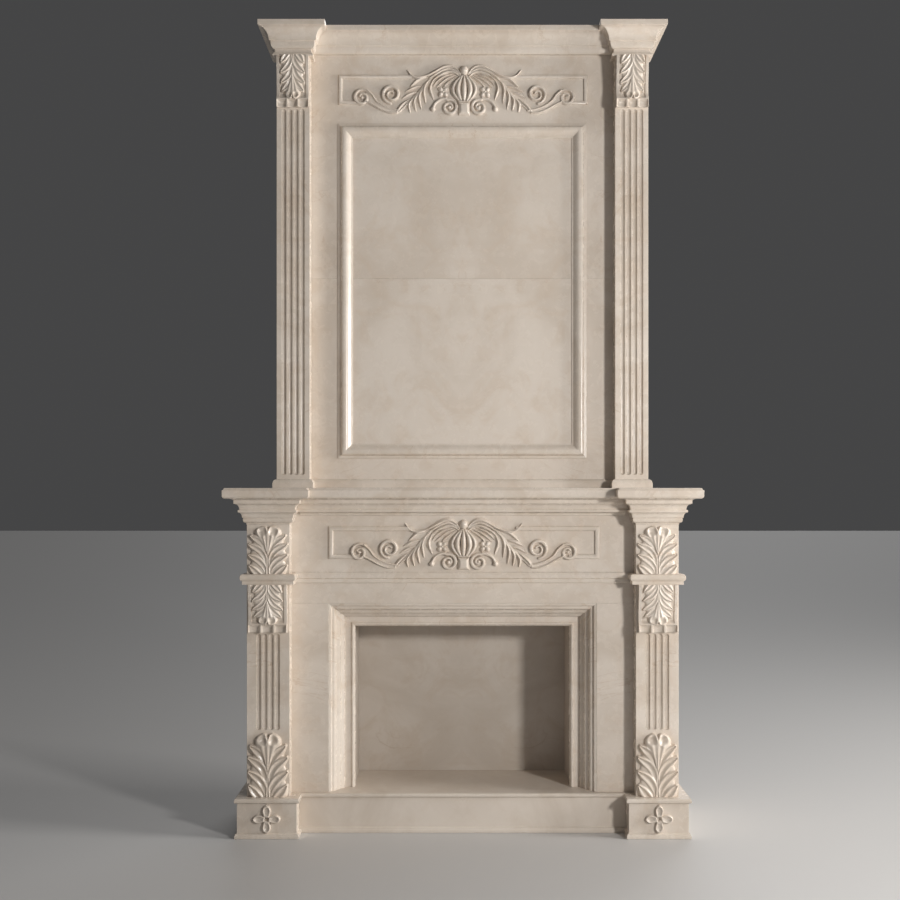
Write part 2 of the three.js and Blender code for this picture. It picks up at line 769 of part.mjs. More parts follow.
function panelFrame(side) {
  return frameMember({
    side,
    halfWidth: LARGE_FRAME.halfWidth,
    bottom: LARGE_FRAME.bottom,
    top: LARGE_FRAME.top,
    face: UPPER_WALL_FACE,
    section: largeFrameSection,
  });
}

const LINER_FRONT = LOWER_WALL_FACE + FIREBOX_FRAME.depth + JOINT;
const LINER_HALF = OPENING_HALF_WIDTH + LINER_CLEARANCE;
const LINER_TOP = FIREBOX_TOP + LINER_CLEARANCE;

function fireboxBack() {
  return block(
    -LINER_HALF - SLAB, LINER_HALF + SLAB, FIREBOX_BACK_FACE, WALL_PLANE,
    HEARTH_TOP + JOINT, LINER_TOP + SLAB,
  );
}

function fireboxSide() {
  return block(
    LINER_HALF, LINER_HALF + SLAB, LINER_FRONT, FIREBOX_BACK_FACE - JOINT,
    HEARTH_TOP + JOINT, LINER_TOP - JOINT,
  );
}

function fireboxCeiling() {
  return block(
    -LINER_HALF - SLAB, LINER_HALF + SLAB, LINER_FRONT, FIREBOX_BACK_FACE - JOINT,
    LINER_TOP, LINER_TOP + SLAB,
  );
}

function sideSlab(carcass, face, bottom, top) {
  return block(carcass - SLAB, carcass, face + SLAB + JOINT, WALL_PLANE, bottom, top);
}

const CORNICE_UNDERSIDE = TOTAL_HEIGHT - 89;
const UPPER_CAPITAL_BOTTOM = TOTAL_HEIGHT - 116;

function upperPilaster() {
  const centre = middle(UPPER_PILASTER);
  const back = UPPER_WALL_FACE - JOINT;
  const shaft = block(
    UPPER_PILASTER.inner, UPPER_PILASTER.outer, UPPER_PILASTER_FACE, back,
    SHELF_TOP + 32, UPPER_CAPITAL_BOTTOM - JOINT,
  );
  const foot = mouldedBlock({
    left: UPPER_PILASTER.inner,
    right: UPPER_PILASTER.outer,
    face: UPPER_PILASTER_FACE,
    back,
    edge: baseEdge,
    sides: [1, 1],
  });
  return joined(cut(shaft, flutes(centre, UPPER_PILASTER_FACE, UPPER_FLUTE)), [foot]);
}

function upperConsole() {
  return consoleBracket({
    centre: middle(UPPER_PILASTER),
    face: UPPER_PILASTER_FACE,
    top: UPPER_CAPITAL_BOTTOM - JOINT,
    shape: UPPER_CONSOLE,
  });
}

function upperCapital() {
  const whole = mouldedBlock({
    left: UPPER_PILASTER.inner,
    right: UPPER_PILASTER.outer,
    face: UPPER_PILASTER_FACE,
    back: WALL_PLANE,
    edge: [...corniceEdge, ...corniceNeck],
    sides: [1, 1],
  });
  const behindNeck = block(
    UPPER_PILASTER.inner - 60, UPPER_PILASTER.outer + 60,
    UPPER_WALL_FACE - JOINT, WALL_PLANE + 1, UPPER_CAPITAL_BOTTOM - 1, CORNICE_UNDERSIDE,
  );
  return cut(whole, [behindNeck]);
}

function corniceCenter() {
  return mouldedBlock({
    left: -UPPER_PILASTER.inner + JOINT,
    right: UPPER_PILASTER.inner - JOINT,
    face: UPPER_WALL_FACE,
    back: WALL_PLANE,
    edge: corniceEdge,
    sides: [-1, -1],
  });
}

function overmantelSlab(bottom, top) {
  return block(-UPPER_CARCASS, UPPER_CARCASS, UPPER_WALL_FACE, UPPER_WALL_FACE + SLAB, bottom, top);
}

function overmantelSlabUpper() {
  const slab = overmantelSlab(SLAB_SEAM + JOINT, CORNICE_UNDERSIDE - JOINT);
  const centreZ = (UPPER_PANEL.bottom + UPPER_PANEL.top) / 2;
  return joined(slab, [beadedPanel(UPPER_PANEL, UPPER_WALL_FACE), ...ornament(centreZ, UPPER_WALL_FACE)]);
}

// Assembly

const fireplace = new THREE.Group();

function stone(name, geometry) {
  geometry.deleteAttribute('normal');
  geometry.computeVertexNormals();
  const material = new THREE.MeshStandardMaterial({ color: MARBLE, roughness: 0.35, metalness: 0 });
  const mesh = new THREE.Mesh(geometry, material);
  mesh.name = name;
  fireplace.add(mesh);
}

function pair(name, geometry) {
  stone(`${name}_left`, mirrored(geometry));
  stone(`${name}_right`, geometry);
}

pair('plinth', plinth());
stone('hearth', hearth());
pair('lower_pilaster', lowerPilaster());
pair('lower_console', lowerConsole());
pair('necking_band', neckingBand());
pair('leaf_block', leafBlock());
pair('shelf_capital', shelfCapital());
stone('shelf_center', shelfCenter());
stone('frieze_lower', friezeLower());
stone('string_course', stringCourse());
stone('surround_lintel', surroundLintel());
pair('surround_jamb', surroundJamb());
for (const side of ['left', 'right', 'top']) {
  stone(`firebox_frame_${side}`, fireboxFrame(side));
}
stone('firebox_back', fireboxBack());
pair('firebox_side', fireboxSide());
stone('firebox_ceiling', fireboxCeiling());
pair('lower_side', sideSlab(LOWER_CARCASS, LOWER_WALL_FACE, HEARTH_TOP + JOINT, SHELF_UNDERSIDE - JOINT));

stone('overmantel_base', overmantelBase());
pair('upper_pilaster', upperPilaster());
pair('upper_console', upperConsole());
pair('upper_capital', upperCapital());
stone('cornice_center', corniceCenter());
stone('overmantel_slab_lower', overmantelSlab(SHELF_TOP + 32 + JOINT, SLAB_SEAM));
stone('overmantel_slab_upper', overmantelSlabUpper());
for (const side of ['left', 'right', 'top', 'bottom']) {
  stone(`panel_frame_${side}`, panelFrame(side));
}
pair('upper_side', sideSlab(UPPER_CARCASS, UPPER_WALL_FACE, SHELF_TOP + JOINT, CORNICE_UNDERSIDE - JOINT));

// The origin is on the floor, under the middle of the whole fireplace.
const shelfFront = LOWER_PILASTER_FACE - 76;
fireplace.position.y = -(shelfFront + WALL_PLANE) / 2;

export default fireplace;
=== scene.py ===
# %% [markdown]
# # A carved marble fireplace in two storeys
# The real fireplace is built up from sawn and carved blocks of cream marble: plinths and a
# hearth, fluted pilasters with leaf consoles, a moulded mantel shelf, and over it a tall
# overmantel with a raised frame and a cornice. The construction is already settled and packed as
# a fixed frame. Here every stone gets its finished surface: smooth mouldings with eased edges,
# carved leaves and scrolls as real relief, and polished stone.

# %% Load the frame
import math

import bpy
import numpy as np
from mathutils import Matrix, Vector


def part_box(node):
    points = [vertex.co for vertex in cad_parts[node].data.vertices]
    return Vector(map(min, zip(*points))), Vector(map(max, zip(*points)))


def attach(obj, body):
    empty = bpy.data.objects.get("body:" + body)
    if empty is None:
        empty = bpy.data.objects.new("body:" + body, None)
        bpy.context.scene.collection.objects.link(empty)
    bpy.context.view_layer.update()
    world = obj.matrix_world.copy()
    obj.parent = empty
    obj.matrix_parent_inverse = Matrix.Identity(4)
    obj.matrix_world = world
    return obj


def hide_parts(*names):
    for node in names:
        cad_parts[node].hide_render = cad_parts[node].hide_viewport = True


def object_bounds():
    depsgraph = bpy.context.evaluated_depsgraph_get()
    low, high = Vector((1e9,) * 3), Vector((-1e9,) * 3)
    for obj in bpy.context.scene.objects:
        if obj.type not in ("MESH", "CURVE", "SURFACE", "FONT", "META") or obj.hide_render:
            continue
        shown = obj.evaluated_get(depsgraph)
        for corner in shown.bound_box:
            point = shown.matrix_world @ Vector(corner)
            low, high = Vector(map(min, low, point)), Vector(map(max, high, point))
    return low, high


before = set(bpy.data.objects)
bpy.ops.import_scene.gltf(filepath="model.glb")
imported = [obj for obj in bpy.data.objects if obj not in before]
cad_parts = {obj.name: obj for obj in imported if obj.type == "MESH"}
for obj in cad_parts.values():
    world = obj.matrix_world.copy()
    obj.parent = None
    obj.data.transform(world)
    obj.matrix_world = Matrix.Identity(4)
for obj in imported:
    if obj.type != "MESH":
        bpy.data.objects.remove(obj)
frame_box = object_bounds()
print("nodes:", len(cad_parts), "box:", [list(map(lambda v: round(v, 3), c)) for c in frame_box])

# %% [markdown]
# ## One way of measuring
# A mason's drawing gives widths from the centre line, heights from the floor and depths from the
# face of the plinths, in millimetres. The same three numbers are used here, and one helper turns
# them into the scene's metres. The wall plane of the frame ties the depths to the scene.

# %% Measures
MM = 0.001
WALL_DEPTH = 450.0
wall_y = frame_box[1].y


def to_scene(points):
    """Turns rows of (across, depth, height) in millimetres into scene metres."""
    points = np.asarray(points, float)
    return points * MM + np.array([0.0, wall_y - WALL_DEPTH * MM, 0.0])


def span(node):
    """The box of a node in the drawing's millimetres, as (low, high)."""
    low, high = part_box(node)
    shift = np.array([0.0, WALL_DEPTH - wall_y / MM, 0.0])
    return np.array(low) / MM + shift, np.array(high) / MM + shift


print("plinth box in mm:", [np.round(v, 1).tolist() for v in span("plinth_right")])

# %% [markdown]
# ## Camera
# The picture was taken square on, from just over four metres away and a hand's breadth left of the
# middle, with the lens at the height of the mantel shelf. The lens is shifted up a little instead
# of tilted, so uprights stay upright.

# %% Camera
EYE = (-45.8, -4200.0, 1252.0)
LENS = 47.06
RISE = 0.0422

camera_data = bpy.data.cameras.new("camera")
camera_data.lens = LENS
camera_data.sensor_width = 36.0
camera_data.shift_y = RISE
camera_data.clip_end = 60.0
camera = bpy.data.objects.new("camera", camera_data)
bpy.context.scene.collection.objects.link(camera)
camera.location = to_scene([EYE])[0]
camera.rotation_euler = (math.pi / 2, 0.0, 0.0)
bpy.context.scene.camera = camera
print("camera at", [round(v, 3) for v in camera.location])

# %% [markdown]
# ## Floor and light
# The stage is a plain pale floor. The carving only reads if light rakes across it, so one soft
# key light stands on the right, a second one further round picks out the edges that face it, and
# a weak, wide fill keeps the shadows open. A faint, wide light from behind serves the other views.

# %% Floor
FLOOR_REACH = 30.0

floor_mesh = bpy.data.meshes.new("floor")
floor_mesh.from_pydata(
    [(-FLOOR_REACH, -FLOOR_REACH, 0), (FLOOR_REACH, -FLOOR_REACH, 0),
     (FLOOR_REACH, FLOOR_REACH, 0), (-FLOOR_REACH, FLOOR_REACH, 0)],
    [], [(0, 1, 2, 3)],
)
floor = bpy.data.objects.new("floor", floor_mesh)
bpy.context.scene.collection.objects.link(floor)
floor_finish = bpy.data.materials.new("floor_finish")
floor_finish.use_nodes = True
floor_shader = floor_finish.node_tree.nodes["Principled BSDF"]
floor_shader.inputs["Base Color"].default_value = (0.60, 0.59, 0.58, 1)
floor_shader.inputs["Roughness"].default_value = 0.6
floor_mesh.materials.append(floor_finish)

# %% Lights
def soft_light(name, place, aim, size, power, tint):
    """A square softbox at place that points at aim, both in metres."""
    data = bpy.data.lights.new(name, "AREA")
    data.shape = "SQUARE"
    data.size = size
    data.energy = power
    data.color = tint
    lamp = bpy.data.objects.new(name, data)
    bpy.context.scene.collection.objects.link(lamp)
    lamp.location = place
    away = np.array(place) - np.array(aim)
    pitch = math.atan2(math.hypot(away[0], away[1]), away[2])
    lamp.rotation_euler = (pitch, 0.0, math.atan2(away[0], -away[1]))
    return lamp


soft_light("key_light", (2.55, -3.35, 1.75), (0.1, 0.0, 1.5), 0.42, 90.0, (1.0, 0.98, 0.96))
soft_light("edge_light", (6.2, -1.15, 2.1), (0.0, 0.0, 1.5), 1.8, 320.0, (1.0, 0.98, 0.95))
soft_light("fill_light", (-0.2, -5.6, 2.2), (0.0, 0.0, 1.4), 3.6, 9.0, (0.98, 0.99, 1.0))

sky = bpy.data.lights.new("back_light", "SUN")
sky.energy = 0.7
sky.angle = math.radians(40)
sky_lamp = bpy.data.objects.new("back_light", sky)
bpy.context.scene.collection.objects.link(sky_lamp)
sky_lamp.rotation_euler = (math.radians(-55), 0.0, math.radians(-12))

world = bpy.data.worlds.new("studio")
world.use_nodes = True
world.node_tree.nodes["Background"].inputs["Color"].default_value = (0.60, 0.60, 0.61, 1)
world.node_tree.nodes["Background"].inputs["Strength"].default_value = 0.10
bpy.context.scene.world = world
bpy.context.scene.view_settings.view_transform = "Standard"

# %% [markdown]
# ## Marble
# The stone is a pale cream marble. Up close it has three layers: wide clouds of warmer and
# greyer cream, a soft mottle the size of a coin, and a few hair-thin ochre veins. Slabs cut one
# after the other from a block are opened like a book, so the pattern of the left half mirrors the
# right half: taking the absolute value of the distance from the centre line does that. Each stone
# comes from another place in the block, so each material shifts the pattern.

# %% Marble material
CREAM = (0.690, 0.610, 0.528, 1)
PALE = (0.790, 0.717, 0.640, 1)
WARM = (0.640, 0.525, 0.415, 1)
OCHRE = (0.500, 0.350, 0.225, 1)
WARM_SHARE, SPECKLE_SHARE, VEIN_SHARE = 0.42, 0.16, 0.38
VEIN_WIDTH = 0.007
SEAM_JUMP = (0.37, 0.0, 1.9)
HOLLOW_SHADE = 0.78


def add_node(tree, kind, **values):
    """Adds a node and sets its inputs by name or its settings by attribute."""
    made = tree.nodes.new(kind)
    for key, value in values.items():
        if key in made.inputs:
            made.inputs[key].default_value = value
        else:
            setattr(made, key, value)
    return made


def mix_colour(tree, first, second, factor, blend="MIX"):
    """Mixes two colours; each argument is a socket or a constant."""
    made = tree.nodes.new("ShaderNodeMix")
    made.data_type = "RGBA"
    made.blend_type = blend
    for socket, value in ((made.inputs[6], first), (made.inputs[7], second), (made.inputs[0], factor)):
        if isinstance(value, bpy.types.NodeSocket):
            tree.links.new(value, socket)
        else:
            socket.default_value = value
    return made.outputs[2]


def calc(tree, operation, first, second=None):
    """A sum on one or two values; each is a socket or a number."""
    made = add_node(tree, "ShaderNodeMath", operation=operation)
    for socket, value in zip(made.inputs, (first, second)):
        if isinstance(value, bpy.types.NodeSocket):
            tree.links.new(value, socket)
        elif value is not None:
            socket.default_value = value
    return made.outputs[0]


def spread(tree, value, low, high, bottom=0.0, top=1.0):
    """Stretches a value between low and high to bottom and top."""
    made = tree.nodes.new("ShaderNodeMapRange")
    made.interpolation_type = "SMOOTHSTEP"
    tree.links.new(value, made.inputs["Value"])
    for key, number in (("From Min", low), ("From Max", high), ("To Min", bottom), ("To Max", top)):
        made.inputs[key].default_value = number
    return made.outputs["Result"]


def marble(name, shift, seam_height=None, roughness=0.26, depth=1.0, painted_crease_shade=True, figure=1.0):
    """Polished cream marble. The pattern is mirrored about the centre line and moved by shift;
    depth below 1 darkens the stone, the crease flag darkens the hollows and creases of carved work
    as painted shade, and figure below 1 calms the pattern."""
    finish = bpy.data.materials.new(name)
    finish.use_nodes = True
    tree = finish.node_tree
    shader = tree.nodes["Principled BSDF"]
    place = tree.nodes.new("ShaderNodeTexCoord").outputs["Object"]
    parts = add_node(tree, "ShaderNodeSeparateXYZ")
    tree.links.new(place, parts.inputs[0])
    joined = add_node(tree, "ShaderNodeCombineXYZ")
    tree.links.new(calc(tree, "ABSOLUTE", parts.outputs["X"]), joined.inputs["X"])
    for axis in "YZ":
        tree.links.new(parts.outputs[axis], joined.inputs[axis])
    moved = add_node(tree, "ShaderNodeVectorMath", operation="ADD")
    tree.links.new(joined.outputs[0], moved.inputs[0])
    moved.inputs[1].default_value = shift
    where = moved.outputs[0]
    if seam_height is not None:
        above = calc(tree, "GREATER_THAN", parts.outputs["Z"], seam_height)
        jump = add_node(tree, "ShaderNodeVectorMath", operation="SCALE")
        jump.inputs[0].default_value = SEAM_JUMP
        tree.links.new(above, jump.inputs["Scale"])
        stepped = add_node(tree, "ShaderNodeVectorMath", operation="ADD")
        tree.links.new(where, stepped.inputs[0])
        tree.links.new(jump.outputs[0], stepped.inputs[1])
        where = stepped.outputs[0]

    def noise(scale, detail, rough, distortion=0.0):
        made = add_node(tree, "ShaderNodeTexNoise", Scale=scale, Detail=detail, Roughness=rough)
        made.inputs["Distortion"].default_value = distortion
        tree.links.new(where, made.inputs["Vector"])
        return made.outputs["Fac"]

    clouds = spread(tree, noise(2.6, 7.0, 0.58, 0.9), 0.36, 0.66)
    drift = spread(tree, noise(6.5, 8.0, 0.66, 1.6), 0.45, 0.68)
    mottle = spread(tree, noise(26.0, 6.0, 0.62, 0.4), 0.35, 0.70)
    grain = noise(210.0, 3.0, 0.5)
    colour = mix_colour(tree, PALE, CREAM, clouds)
    colour = mix_colour(tree, colour, WARM, calc(tree, "MULTIPLY", drift, WARM_SHARE * figure))
    colour = mix_colour(tree, colour, CREAM, calc(tree, "MULTIPLY", mottle, SPECKLE_SHARE * figure))
    distance = calc(tree, "ABSOLUTE", calc(tree, "SUBTRACT", noise(1.9, 9.0, 0.60, 1.1), 0.5))
    vein = spread(tree, distance, 0.0, VEIN_WIDTH, 1.0, 0.0)
    where_veined = spread(tree, noise(3.7, 3.0, 0.5), 0.50, 0.66)
    vein_share = calc(tree, "MULTIPLY", vein, where_veined)
    colour = mix_colour(tree, colour, OCHRE, calc(tree, "MULTIPLY", vein_share, VEIN_SHARE * figure))

    # Painted shade: where Pointiness finds a crease or hollow, the colour is darkened by HOLLOW_SHADE.
    if painted_crease_shade:
        surface = add_node(tree, "ShaderNodeNewGeometry")
        crease = spread(tree, surface.outputs["Pointiness"], 0.40, 0.50, HOLLOW_SHADE, 1.0)
        shade = add_node(tree, "ShaderNodeCombineColor")
        for channel in ("Red", "Green", "Blue"):
            tree.links.new(crease, shade.inputs[channel])
        colour = mix_colour(tree, colour, shade.outputs[0], 1.0, "MULTIPLY")
    colour = mix_colour(tree, colour, (depth, depth * 0.985, depth * 0.965, 1), 1.0, "MULTIPLY")
    tree.links.new(colour, shader.inputs["Base Color"])
    sheen = spread(tree, mottle, 0.0, 1.0, roughness - 0.03, roughness + 0.04)
    tree.links.new(sheen, shader.inputs["Roughness"])
    bump = add_node(tree, "ShaderNodeBump", Strength=0.03 * figure, Distance=0.0003)
    tree.links.new(grain, bump.inputs["Height"])
    tree.links.new(bump.outputs["Normal"], shader.inputs["Normal"])
    return finish


SEAM_HEIGHT = span("overmantel_slab_lower")[1][2] * MM
stones = {
    "wall": marble("marble_wall", (0.0, 3.0, 0.2), seam_height=SEAM_HEIGHT),
    "frieze": marble("marble_frieze", (5.3, 1.0, 2.2)),
    "shelf": marble("marble_shelf", (1.1, 6.4, 0.7), painted_crease_shade=False),
    "pilaster": marble("marble_pilaster", (3.7, 2.0, 5.1)),
    "carving": marble("marble_carving", (8.2, 4.4, 1.3)),
    "plinth": marble("marble_plinth", (2.6, 7.7, 3.9), depth=0.94),
    "hearth": marble("marble_hearth", (0.4, 3.3, 9.1), roughness=0.5, depth=0.95, painted_crease_shade=False, figure=0.45),
    "frame": marble("marble_frame", (6.1, 5.2, 8.8), painted_crease_shade=False),
    # The firebox lining is darkened to depth 0.76 as painted shade inside the deep recess.
    "firebox": marble("marble_firebox", (4.4, 9.1, 6.6), roughness=0.45, depth=0.76, painted_crease_shade=False),
}
print("materials:", sorted(m.name for m in stones.values()))

# %% [markdown]
# ## From numbers to a stone
# Every stone below is a list of closed shells. A shell is a set of points and faces; a helper
# checks which way its faces point by adding up the volume it encloses, and turns it round if the
# sum is negative. Flat faces next to small rounded edges look dented if their normals are
# averaged, so a Weighted Normal modifier lets the large faces win.

# %% Shells and pieces
def enclosed_volume(points, faces):
    """Signed volume of a closed shell, by fans from each face's first corner."""
    total = 0.0
    for face in faces:
        corner = points[face[0]]
        fan = points[np.asarray(face[1:])]
        total += np.sum(np.cross(fan[:-1], fan[1:]) @ corner)
    return total / 6.0


def shell(points, faces):
    """A closed shell with its faces turned outwards."""
    points = np.asarray(points, float)
    if enclosed_volume(points, faces) < 0:
        faces = [list(reversed(face)) for face in faces]
    return points, faces


def loft(rings):
    """Joins rings of points, all of one length, into a closed shell with flat ends."""
    rings = np.asarray(rings, float)
    levels, count = rings.shape[:2]
    faces = []
    for level in range(levels - 1):
        for i in range(count):
            here, beside = level * count + i, level * count + (i + 1) % count
            faces.append([here, beside, beside + count, here + count])
    last = (levels - 1) * count
    faces.append(list(range(count))[::-1])
    faces.append([last + i for i in range(count)])
    return shell(rings.reshape(-1, 3), faces)


def mirrored(parts):
    """The same shells on the other side of the centre line."""
    return [(points * [-1, 1, 1], [list(reversed(face)) for face in faces]) for points, faces in parts]


SMOOTH_ANGLE = math.radians(38)
totals = {"faces": 0}


def stone(name, parts, finish, nodes=None):
    """Makes one finished piece out of shells in millimetres; it stands for the named nodes."""
    points, faces, offset = [], [], 0
    for part_points, part_faces in parts:
        points.append(part_points)
        faces.extend([[i + offset for i in face] for face in part_faces])
        offset += len(part_points)
    mesh = bpy.data.meshes.new(name)
    mesh.from_pydata(to_scene(np.concatenate(points)).tolist(), [], faces)
    mesh.shade_smooth()
    mesh.set_sharp_from_angle(angle=SMOOTH_ANGLE)
    mesh.materials.append(stones[finish])
    piece = bpy.data.objects.new(name, mesh)
    bpy.context.scene.collection.objects.link(piece)
    even = piece.modifiers.new("even_shading", "WEIGHTED_NORMAL")
    even.keep_sharp = True
    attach(piece, "root")
    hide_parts(*(nodes or [name]))
    totals["faces"] += sum(len(face) - 2 for face in faces)
    return piece


def stone_pair(name, parts, finish):
    """The right-hand stone as given, and its mirror image on the left."""
    stone(f"{name}_dressed_right", parts, finish, [f"{name}_right"])
    stone(f"{name}_dressed_left", mirrored(parts), finish, [f"{name}_left"])
    print(name, sum(len(faces) for _, faces in parts), "faces a side")


# %% [markdown]
# ## Mouldings
# A moulding is one outline that runs along the front of a stone and breaks round its corners.
# The outline is written from the top down as overhang and height. Masons build it from quarter
# rounds, hollows and flat fillets, and rub every arris a little, because a knife-sharp edge of
# marble chips. The helpers below make the curves and ease the arrises.

# %% Outlines
QUARTER = math.pi / 2
ARRIS = 0.9


def hollow(start, end, steps=10):
    """A concave quarter from start to end, both (overhang, height)."""
    turn = np.linspace(0, QUARTER, steps + 1)
    (o0, z0), (o1, z1) = start, end
    return [(o0 + (o1 - o0) * math.sin(t), z0 + (z1 - z0) * (1 - math.cos(t))) for t in turn]


def quarter_round(start, end, steps=10):
    """A convex quarter from start to end."""
    turn = np.linspace(0, QUARTER, steps + 1)
    (o0, z0), (o1, z1) = start, end
    return [(o0 + (o1 - o0) * (1 - math.cos(t)), z0 + (z1 - z0) * math.sin(t)) for t in turn]


def eased(outline, radius=ARRIS, closed=False):
    """Rounds the sharp corners of an outline with three points each."""
    line = [np.asarray(p, float) for p in outline]
    count = len(line)
    done = []
    for i, here in enumerate(line):
        if not closed and i in (0, count - 1):
            done.append(here)
            continue
        before, after = line[i - 1] - here, line[(i + 1) % count] - here
        near, far = np.linalg.norm(before), np.linalg.norm(after)
        bend = math.acos(np.clip(-(before @ after) / (near * far), -1, 1))
        if bend < 0.44:
            done.append(here)
            continue
        reach = min(radius, near * 0.4, far * 0.4)
        first, last = here + before / near * reach, here + after / far * reach
        for t in (0.0, 0.33, 0.67, 1.0):
            done.append((1 - t) ** 2 * first + 2 * t * (1 - t) * here + t ** 2 * last)
    return np.array(done)


def corner(x, depth, turn_in):
    """The rounded front corner of a plan; turn_in is the direction of the stone's middle in x."""
    turns = np.linspace(0, QUARTER, 4)
    centre_x, centre_y = x + turn_in * ARRIS, depth + ARRIS
    return [(centre_x - turn_in * ARRIS * math.cos(t), centre_y - ARRIS * math.sin(t)) for t in turns]


def moulded(edge, left, right, face, back, sides=(1, 1)):
    """A stone whose outline runs across its front. At each side it breaks round the corner (+1),
    is sawn plain (0) or is mitred back against its neighbour (-1)."""
    rings = []
    for overhang, height in edge:
        x0, x1 = left - overhang * sides[0], right + overhang * sides[1]
        front = face - overhang
        plan = [(x0, back)]
        plan += corner(x0, front, 1) if sides[0] > 0 else [(x0, front)]
        plan += corner(x1, front, -1)[::-1] if sides[1] > 0 else [(x1, front)]
        plan += [(x1, back)]
        rings.append([(x, y, height) for x, y in plan])
    return loft(rings)


def block_edge(top, bottom, ease=ARRIS):
    """The outline of a plain block with eased arrises."""
    return eased([(-3 * ease, top), (0, top), (0, bottom), (-3 * ease, bottom)], ease)


print("a hollow of", len(hollow((26, 10), (6, -18))), "points")

# %% [markdown]
# ## Plain slabs
# The walls round the firebox, its lining, the sides and the lower half of the overmantel are
# sawn slabs. Their sizes are read from the frame, and only their edges are eased, which draws the
# fine lines where two stones meet.

# %% Slabs
SLAB_EASE = 0.6
PLAIN_SLABS = {
    "surround_lintel": "wall", "surround_jamb_left": "wall", "surround_jamb_right": "wall",
    "lower_side_left": "wall", "lower_side_right": "wall",
    "upper_side_left": "wall", "upper_side_right": "wall",
    "overmantel_slab_lower": "wall",
    "firebox_back": "firebox", "firebox_side_left": "firebox", "firebox_side_right": "firebox",
    "firebox_ceiling": "firebox",
}


def slab_shell(low, high):
    """A block between two corners, eased all round its front."""
    return moulded(block_edge(high[2], low[2], SLAB_EASE), low[0], high[0], low[1], high[1])


for node, finish in PLAIN_SLABS.items():
    low, high = span(node)
    stone(f"{node}_dressed", [slab_shell(low, high)], finish, [node])
print("plain slabs:", len(PLAIN_SLABS))

# %% [markdown]
# ## Plinths and hearth
# The plinth blocks carry a bead along the top and a rounded foot. The moulding breaks round both
# sides, but on the inner side it stops where the hearth block meets it.

# %% Plinth blocks
HEARTH_TOP = 143.0
HEARTH_FACE = 77.0
JOINT = 0.3
PLINTH = (593.0, 807.0)

plinth_edge = eased([
    (4, HEARTH_TOP), *quarter_round((7, HEARTH_TOP - 0.5), (9.4, HEARTH_TOP - 6), 4),
    *quarter_round((9.4, HEARTH_TOP - 11), (4, HEARTH_TOP - 16.5), 5), (0, HEARTH_TOP - 18),
    (0, 19), (5.5, 16.5), *quarter_round((6.5, 15.5), (8.6, 10), 4), (8.6, 1.5), (7, 0),
])


def plinth_shell():
    """The plinth's block; its inner moulding ends against the hearth."""
    rings = []
    stop = HEARTH_FACE - 9 - JOINT
    for overhang, height in plinth_edge:
        inner, outer = PLINTH[0] - overhang, PLINTH[1] + overhang
        plan = [(PLINTH[0], WALL_DEPTH), (PLINTH[0], stop), (inner - 0.01, stop)]
        plan += corner(inner, -overhang, 1) + corner(outer, -overhang, -1)[::-1] + [(outer, WALL_DEPTH)]
        rings.append([(x, y, height) for x, y in plan])
    return loft(rings)


# %% Hearth block
hearth_edge = eased([
    (5, HEARTH_TOP), *quarter_round((7, HEARTH_TOP - 0.3), (9.4, HEARTH_TOP - 4), 4),
    *quarter_round((9.4, HEARTH_TOP - 9), (4, HEARTH_TOP - 13.5), 5), (0, HEARTH_TOP - 15),
    (0, 21), (5.5, 18), *quarter_round((6.5, 17), (8.6, 11), 4), (8.6, 1.5), (7, 0),
])
stone("hearth_dressed", [moulded(
    hearth_edge, -PLINTH[0] + JOINT, PLINTH[0] - JOINT, HEARTH_FACE, WALL_DEPTH, (0, 0),
)], "hearth", ["hearth"])

# %% [markdown]
# ## Quatrefoil
# Each plinth bears a small cross of four pointed petals with raised rims. One petal is enough:
# Geometry Nodes set four copies round a centre, each turned a quarter more. The copies are made
# real at the end, because a file for other programs can't hold instances.

# %% Geometry Nodes helpers
def new_tree(name, inputs):
    """An empty modifier tree with a mesh input, named number inputs and a mesh output."""
    tree = bpy.data.node_groups.new(name, "GeometryNodeTree")
    face = tree.interface
    face.new_socket("Geometry", in_out="OUTPUT", socket_type="NodeSocketGeometry")
    face.new_socket("Geometry", in_out="INPUT", socket_type="NodeSocketGeometry")
    for label, (kind, value) in inputs.items():
        face.new_socket(label, in_out="INPUT", socket_type=f"NodeSocket{kind}").default_value = value
    return tree, tree.nodes.new("NodeGroupInput"), tree.nodes.new("NodeGroupOutput")


def wire_all(tree, pairs):
    """Links each pair of sockets."""
    for source, target in pairs:
        tree.links.new(source, target)


def set_on_points(tree, points, shape, finish_name):
    """Puts the shape on every point, makes the copies real and gives them their marble."""
    copies = tree.nodes.new("GeometryNodeInstanceOnPoints")
    real = tree.nodes.new("GeometryNodeRealizeInstances")
    finish = tree.nodes.new("GeometryNodeSetMaterial")
    finish.inputs["Material"].default_value = stones[finish_name]
    wire_all(tree, ((points, copies.inputs["Points"]), (shape, copies.inputs["Instance"]),
                    (copies.outputs[0], real.inputs[0])))
    return copies, real, finish


def grown(name, tree, parts, values=None):
    """Runs a tree on the shells and gives the result back as one shell in millimetres."""
    points, faces, offset = [], [], 0
    for part_points, part_faces in parts:
        points.extend(np.asarray(part_points).tolist())
        faces.extend([[i + offset for i in face] for face in part_faces])
        offset = len(points)
    mesh = bpy.data.meshes.new(name)
    mesh.from_pydata(points, [], faces)
    holder = bpy.data.objects.new(name, mesh)
    bpy.context.scene.collection.objects.link(holder)
    modifier = holder.modifiers.new("grow", "NODES")
    modifier.node_group = tree
    for item in tree.interface.items_tree:
        if item.in_out == "INPUT" and item.name in (values or {}):
            modifier[item.identifier] = values[item.name]
    graph = bpy.context.evaluated_depsgraph_get()
    result = bpy.data.meshes.new_from_object(holder.evaluated_get(graph))
    out = np.empty(len(result.vertices) * 3)
    result.vertices.foreach_get("co", out)
    made = [list(polygon.vertices) for polygon in result.polygons]
    holder.modifiers.remove(modifier)
    bpy.data.objects.remove(holder)
    bpy.data.meshes.remove(mesh)
    bpy.data.meshes.remove(result)
    return out.reshape(-1, 3), made


